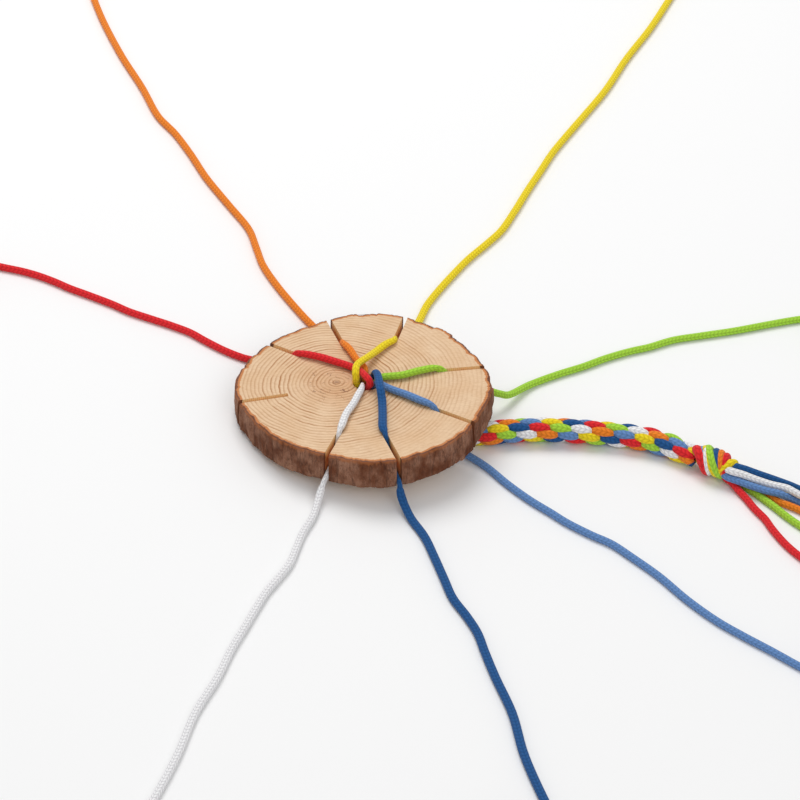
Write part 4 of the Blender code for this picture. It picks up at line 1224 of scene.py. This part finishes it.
class BRAIDDISC_OT_knot(bpy.types.Operator):
    """Tie the overhand knot that closes the braid"""
    bl_idname = "braiding_disc.tie_knot"
    bl_label = "Tie the end knot"

    def execute(self, context):
        forward = unit(KNOT_HEADING)
        left = unit(KNOT_HEADING + 90)
        middle = Vector((*KNOT_MIDDLE, KNOT_RADIUS + FLOOR_CLEARANCE))
        names = sorted({wrap[0] for wrap in KNOT_WRAPS})
        work, uv_map = cord_work()
        for name, along, reach, radius, slant in KNOT_WRAPS:
            ring = []
            for step in range(WRAP_STEPS + 1):
                turn = math.tau * step / WRAP_STEPS - math.pi / 2
                out = left * math.cos(turn) + UP * math.sin(turn)
                place = along - slant * math.cos(turn - math.radians(WRAP_TURN))
                egg = math.sqrt(1 - (place / KNOT_TAPER) ** 2)
                ring.append(middle + forward * place + out * reach * egg)
            frames = []
            for i in range(len(ring)):
                way = (ring[(i + 1) % WRAP_STEPS] - ring[(i - 1) % WRAP_STEPS]).normalized()
                side = forward - way * forward.dot(way)
                frames.append((side.normalized(), way.cross(side).normalized()))
            sizes = [(radius, radius * WRAP_FLATNESS)] * len(ring)
            add_tube(work, uv_map, ring, frames, sizes, WRAP_SIDES, names.index(name), closed=True)
            bmesh.ops.remove_doubles(work, verts=work.verts, dist=0.0002)
        front = [(-share, radius) for share, radius in KNOT_CORE]
        shape = (*front, (0.0, CORE_RADIUS), *reversed(KNOT_CORE))
        core = [middle + forward * share * KNOT_LENGTH / 2 for share, radius in shape]
        sizes = [(radius, radius) for share, radius in shape]
        add_tube(work, uv_map, core, [(left, UP)] * len(core), sizes, CORE_SIDES, names.index("orange"))
        materials = [cotton(name) for name in names]
        finish_piece(work, "end_knot", materials, ["knot"])
        return {"FINISHED"}


class BRAIDDISC_OT_tails(bpy.types.Operator):
    """Spread the seven loose ends past the knot"""
    bl_idname = "braiding_disc.spread_ends"
    bl_label = "Spread the loose ends"

    def execute(self, context):
        forward = unit(KNOT_HEADING)
        left = unit(KNOT_HEADING + 90)
        start = Vector((*KNOT_MIDDLE, 0.0)) + forward * (KNOT_LENGTH / 2 + TAIL_GAP)
        middle = KNOT_RADIUS + FLOOR_CLEARANCE
        for slot, steps in TAILS.items():
            route = []
            aside, height = steps[0][1:]
            inside = (TAIL_START, aside * TAIL_SHARE, middle + (height - middle) * TAIL_SHARE)
            for along, aside, height in map(raised, (inside, *steps)):
                point = start + forward * along + left * aside
                route.append((point.x, point.y, height, CORD_RADIUS))
            make_cord(
                "loose_end_" + slot, smooth_curve(route), route[1][:3], left, slot, ["tail_" + slot],
            )
        return {"FINISHED"}


# Stage


class BRAIDDISC_OT_stage(bpy.types.Operator):
    """Lay white paper on the floor, light it softly and set up the camera"""
    bl_idname = "braiding_disc.lay_stage"
    bl_label = "Lay the stage"

    def execute(self, context):
        settings = context.scene.braiding_disc_stage
        scene = context.scene
        scene.view_settings.view_transform = "Standard"
        paper = new_material("white paper")[0]
        finish_surface(paper, Base_Color=settings.floor_colour, Roughness=0.9, Specular_IOR_Level=0.5)
        work = bmesh.new()
        bmesh.ops.create_grid(work, x_segments=1, y_segments=1, size=FLOOR_SIZE)
        new_object(work, "floor", [paper])

        world = bpy.data.worlds.new("soft sky")
        world.use_nodes = True
        sky = world.node_tree.nodes["Background"]
        sky.inputs["Color"].default_value = (1.0, 1.0, 1.0, 1.0)
        sky.inputs["Strength"].default_value = settings.sky_level
        scene.world = world
        for name, place, size, share in LAMPS:
            light = bpy.data.lights.new(name, "AREA")
            light.shape = "DISK"
            light.size = size
            light.energy = settings.lamp_power * share
            lamp = bpy.data.objects.new(name, light)
            aim = (-Vector(place)).to_track_quat("-Z", "Y").to_matrix().to_4x4()
            lamp.matrix_world = Matrix.Translation(place) @ aim
            scene.collection.objects.link(lamp)

        elevation = settings.camera_elevation
        place = disc_place()
        turn = place.to_3x3()
        back = turn @ Vector((0.0, -math.cos(elevation), math.sin(elevation)))
        right = turn @ Vector((1.0, 0.0, 0.0))
        target = place @ Vector(VIEW_MIDDLE) * MM
        data = bpy.data.cameras.new("camera")
        data.lens = LENS
        data.sensor_width = SENSOR
        camera = bpy.data.objects.new("camera", data)
        seen = Matrix((right, back.cross(right), back)).transposed().to_4x4()
        camera.matrix_world = Matrix.Translation(target + back * settings.camera_distance) @ seen
        scene.collection.objects.link(camera)
        scene.camera = camera
        return {"FINISHED"}


class BRAIDDISC_PT_panel(bpy.types.Panel):
    """Settings and steps of the braiding disc"""
    bl_label = "Braiding disc"
    bl_idname = "BRAIDDISC_PT_panel"
    bl_space_type = "VIEW_3D"
    bl_region_type = "UI"
    bl_category = "Braiding disc"

    def draw(self, context):
        for group, operators in (
            ("braiding_disc_stage", ("lay_stage",)),
            ("braiding_disc_cords", ("lay_cords", "spread_ends")),
            ("braiding_disc_braid", ("tie_knot", "plait_braid")),
            ("braiding_disc_wood", ("saw_slice",)),
        ):
            box = self.layout.box()
            settings = getattr(context.scene, group)
            for name in settings.__annotations__:
                box.prop(settings, name)
            for name in operators:
                box.operator("braiding_disc." + name)


GROUPS = {
    "braiding_disc_wood": WoodSettings,
    "braiding_disc_cords": CordSettings,
    "braiding_disc_braid": BraidSettings,
    "braiding_disc_stage": StageSettings,
}
CLASSES = (
    *GROUPS.values(), BRAIDDISC_OT_stage, BRAIDDISC_OT_cords, BRAIDDISC_OT_tails, BRAIDDISC_OT_knot,
    BRAIDDISC_OT_braid, BRAIDDISC_OT_slice, BRAIDDISC_PT_panel,
)


def register():
    for thing in CLASSES:
        bpy.utils.register_class(thing)
    for name, group in GROUPS.items():
        setattr(bpy.types.Scene, name, bpy.props.PointerProperty(type=group))


def unregister():
    for name in GROUPS:
        delattr(bpy.types.Scene, name)
    for thing in reversed(CLASSES):
        bpy.utils.unregister_class(thing)


def main():
    register()
    bpy.ops.braiding_disc.lay_stage()
    bpy.ops.braiding_disc.lay_cords()
    bpy.ops.braiding_disc.spread_ends()
    bpy.ops.braiding_disc.tie_knot()
    bpy.ops.braiding_disc.plait_braid()
    bpy.ops.braiding_disc.saw_slice()


if __name__ == "__main__":
    main()
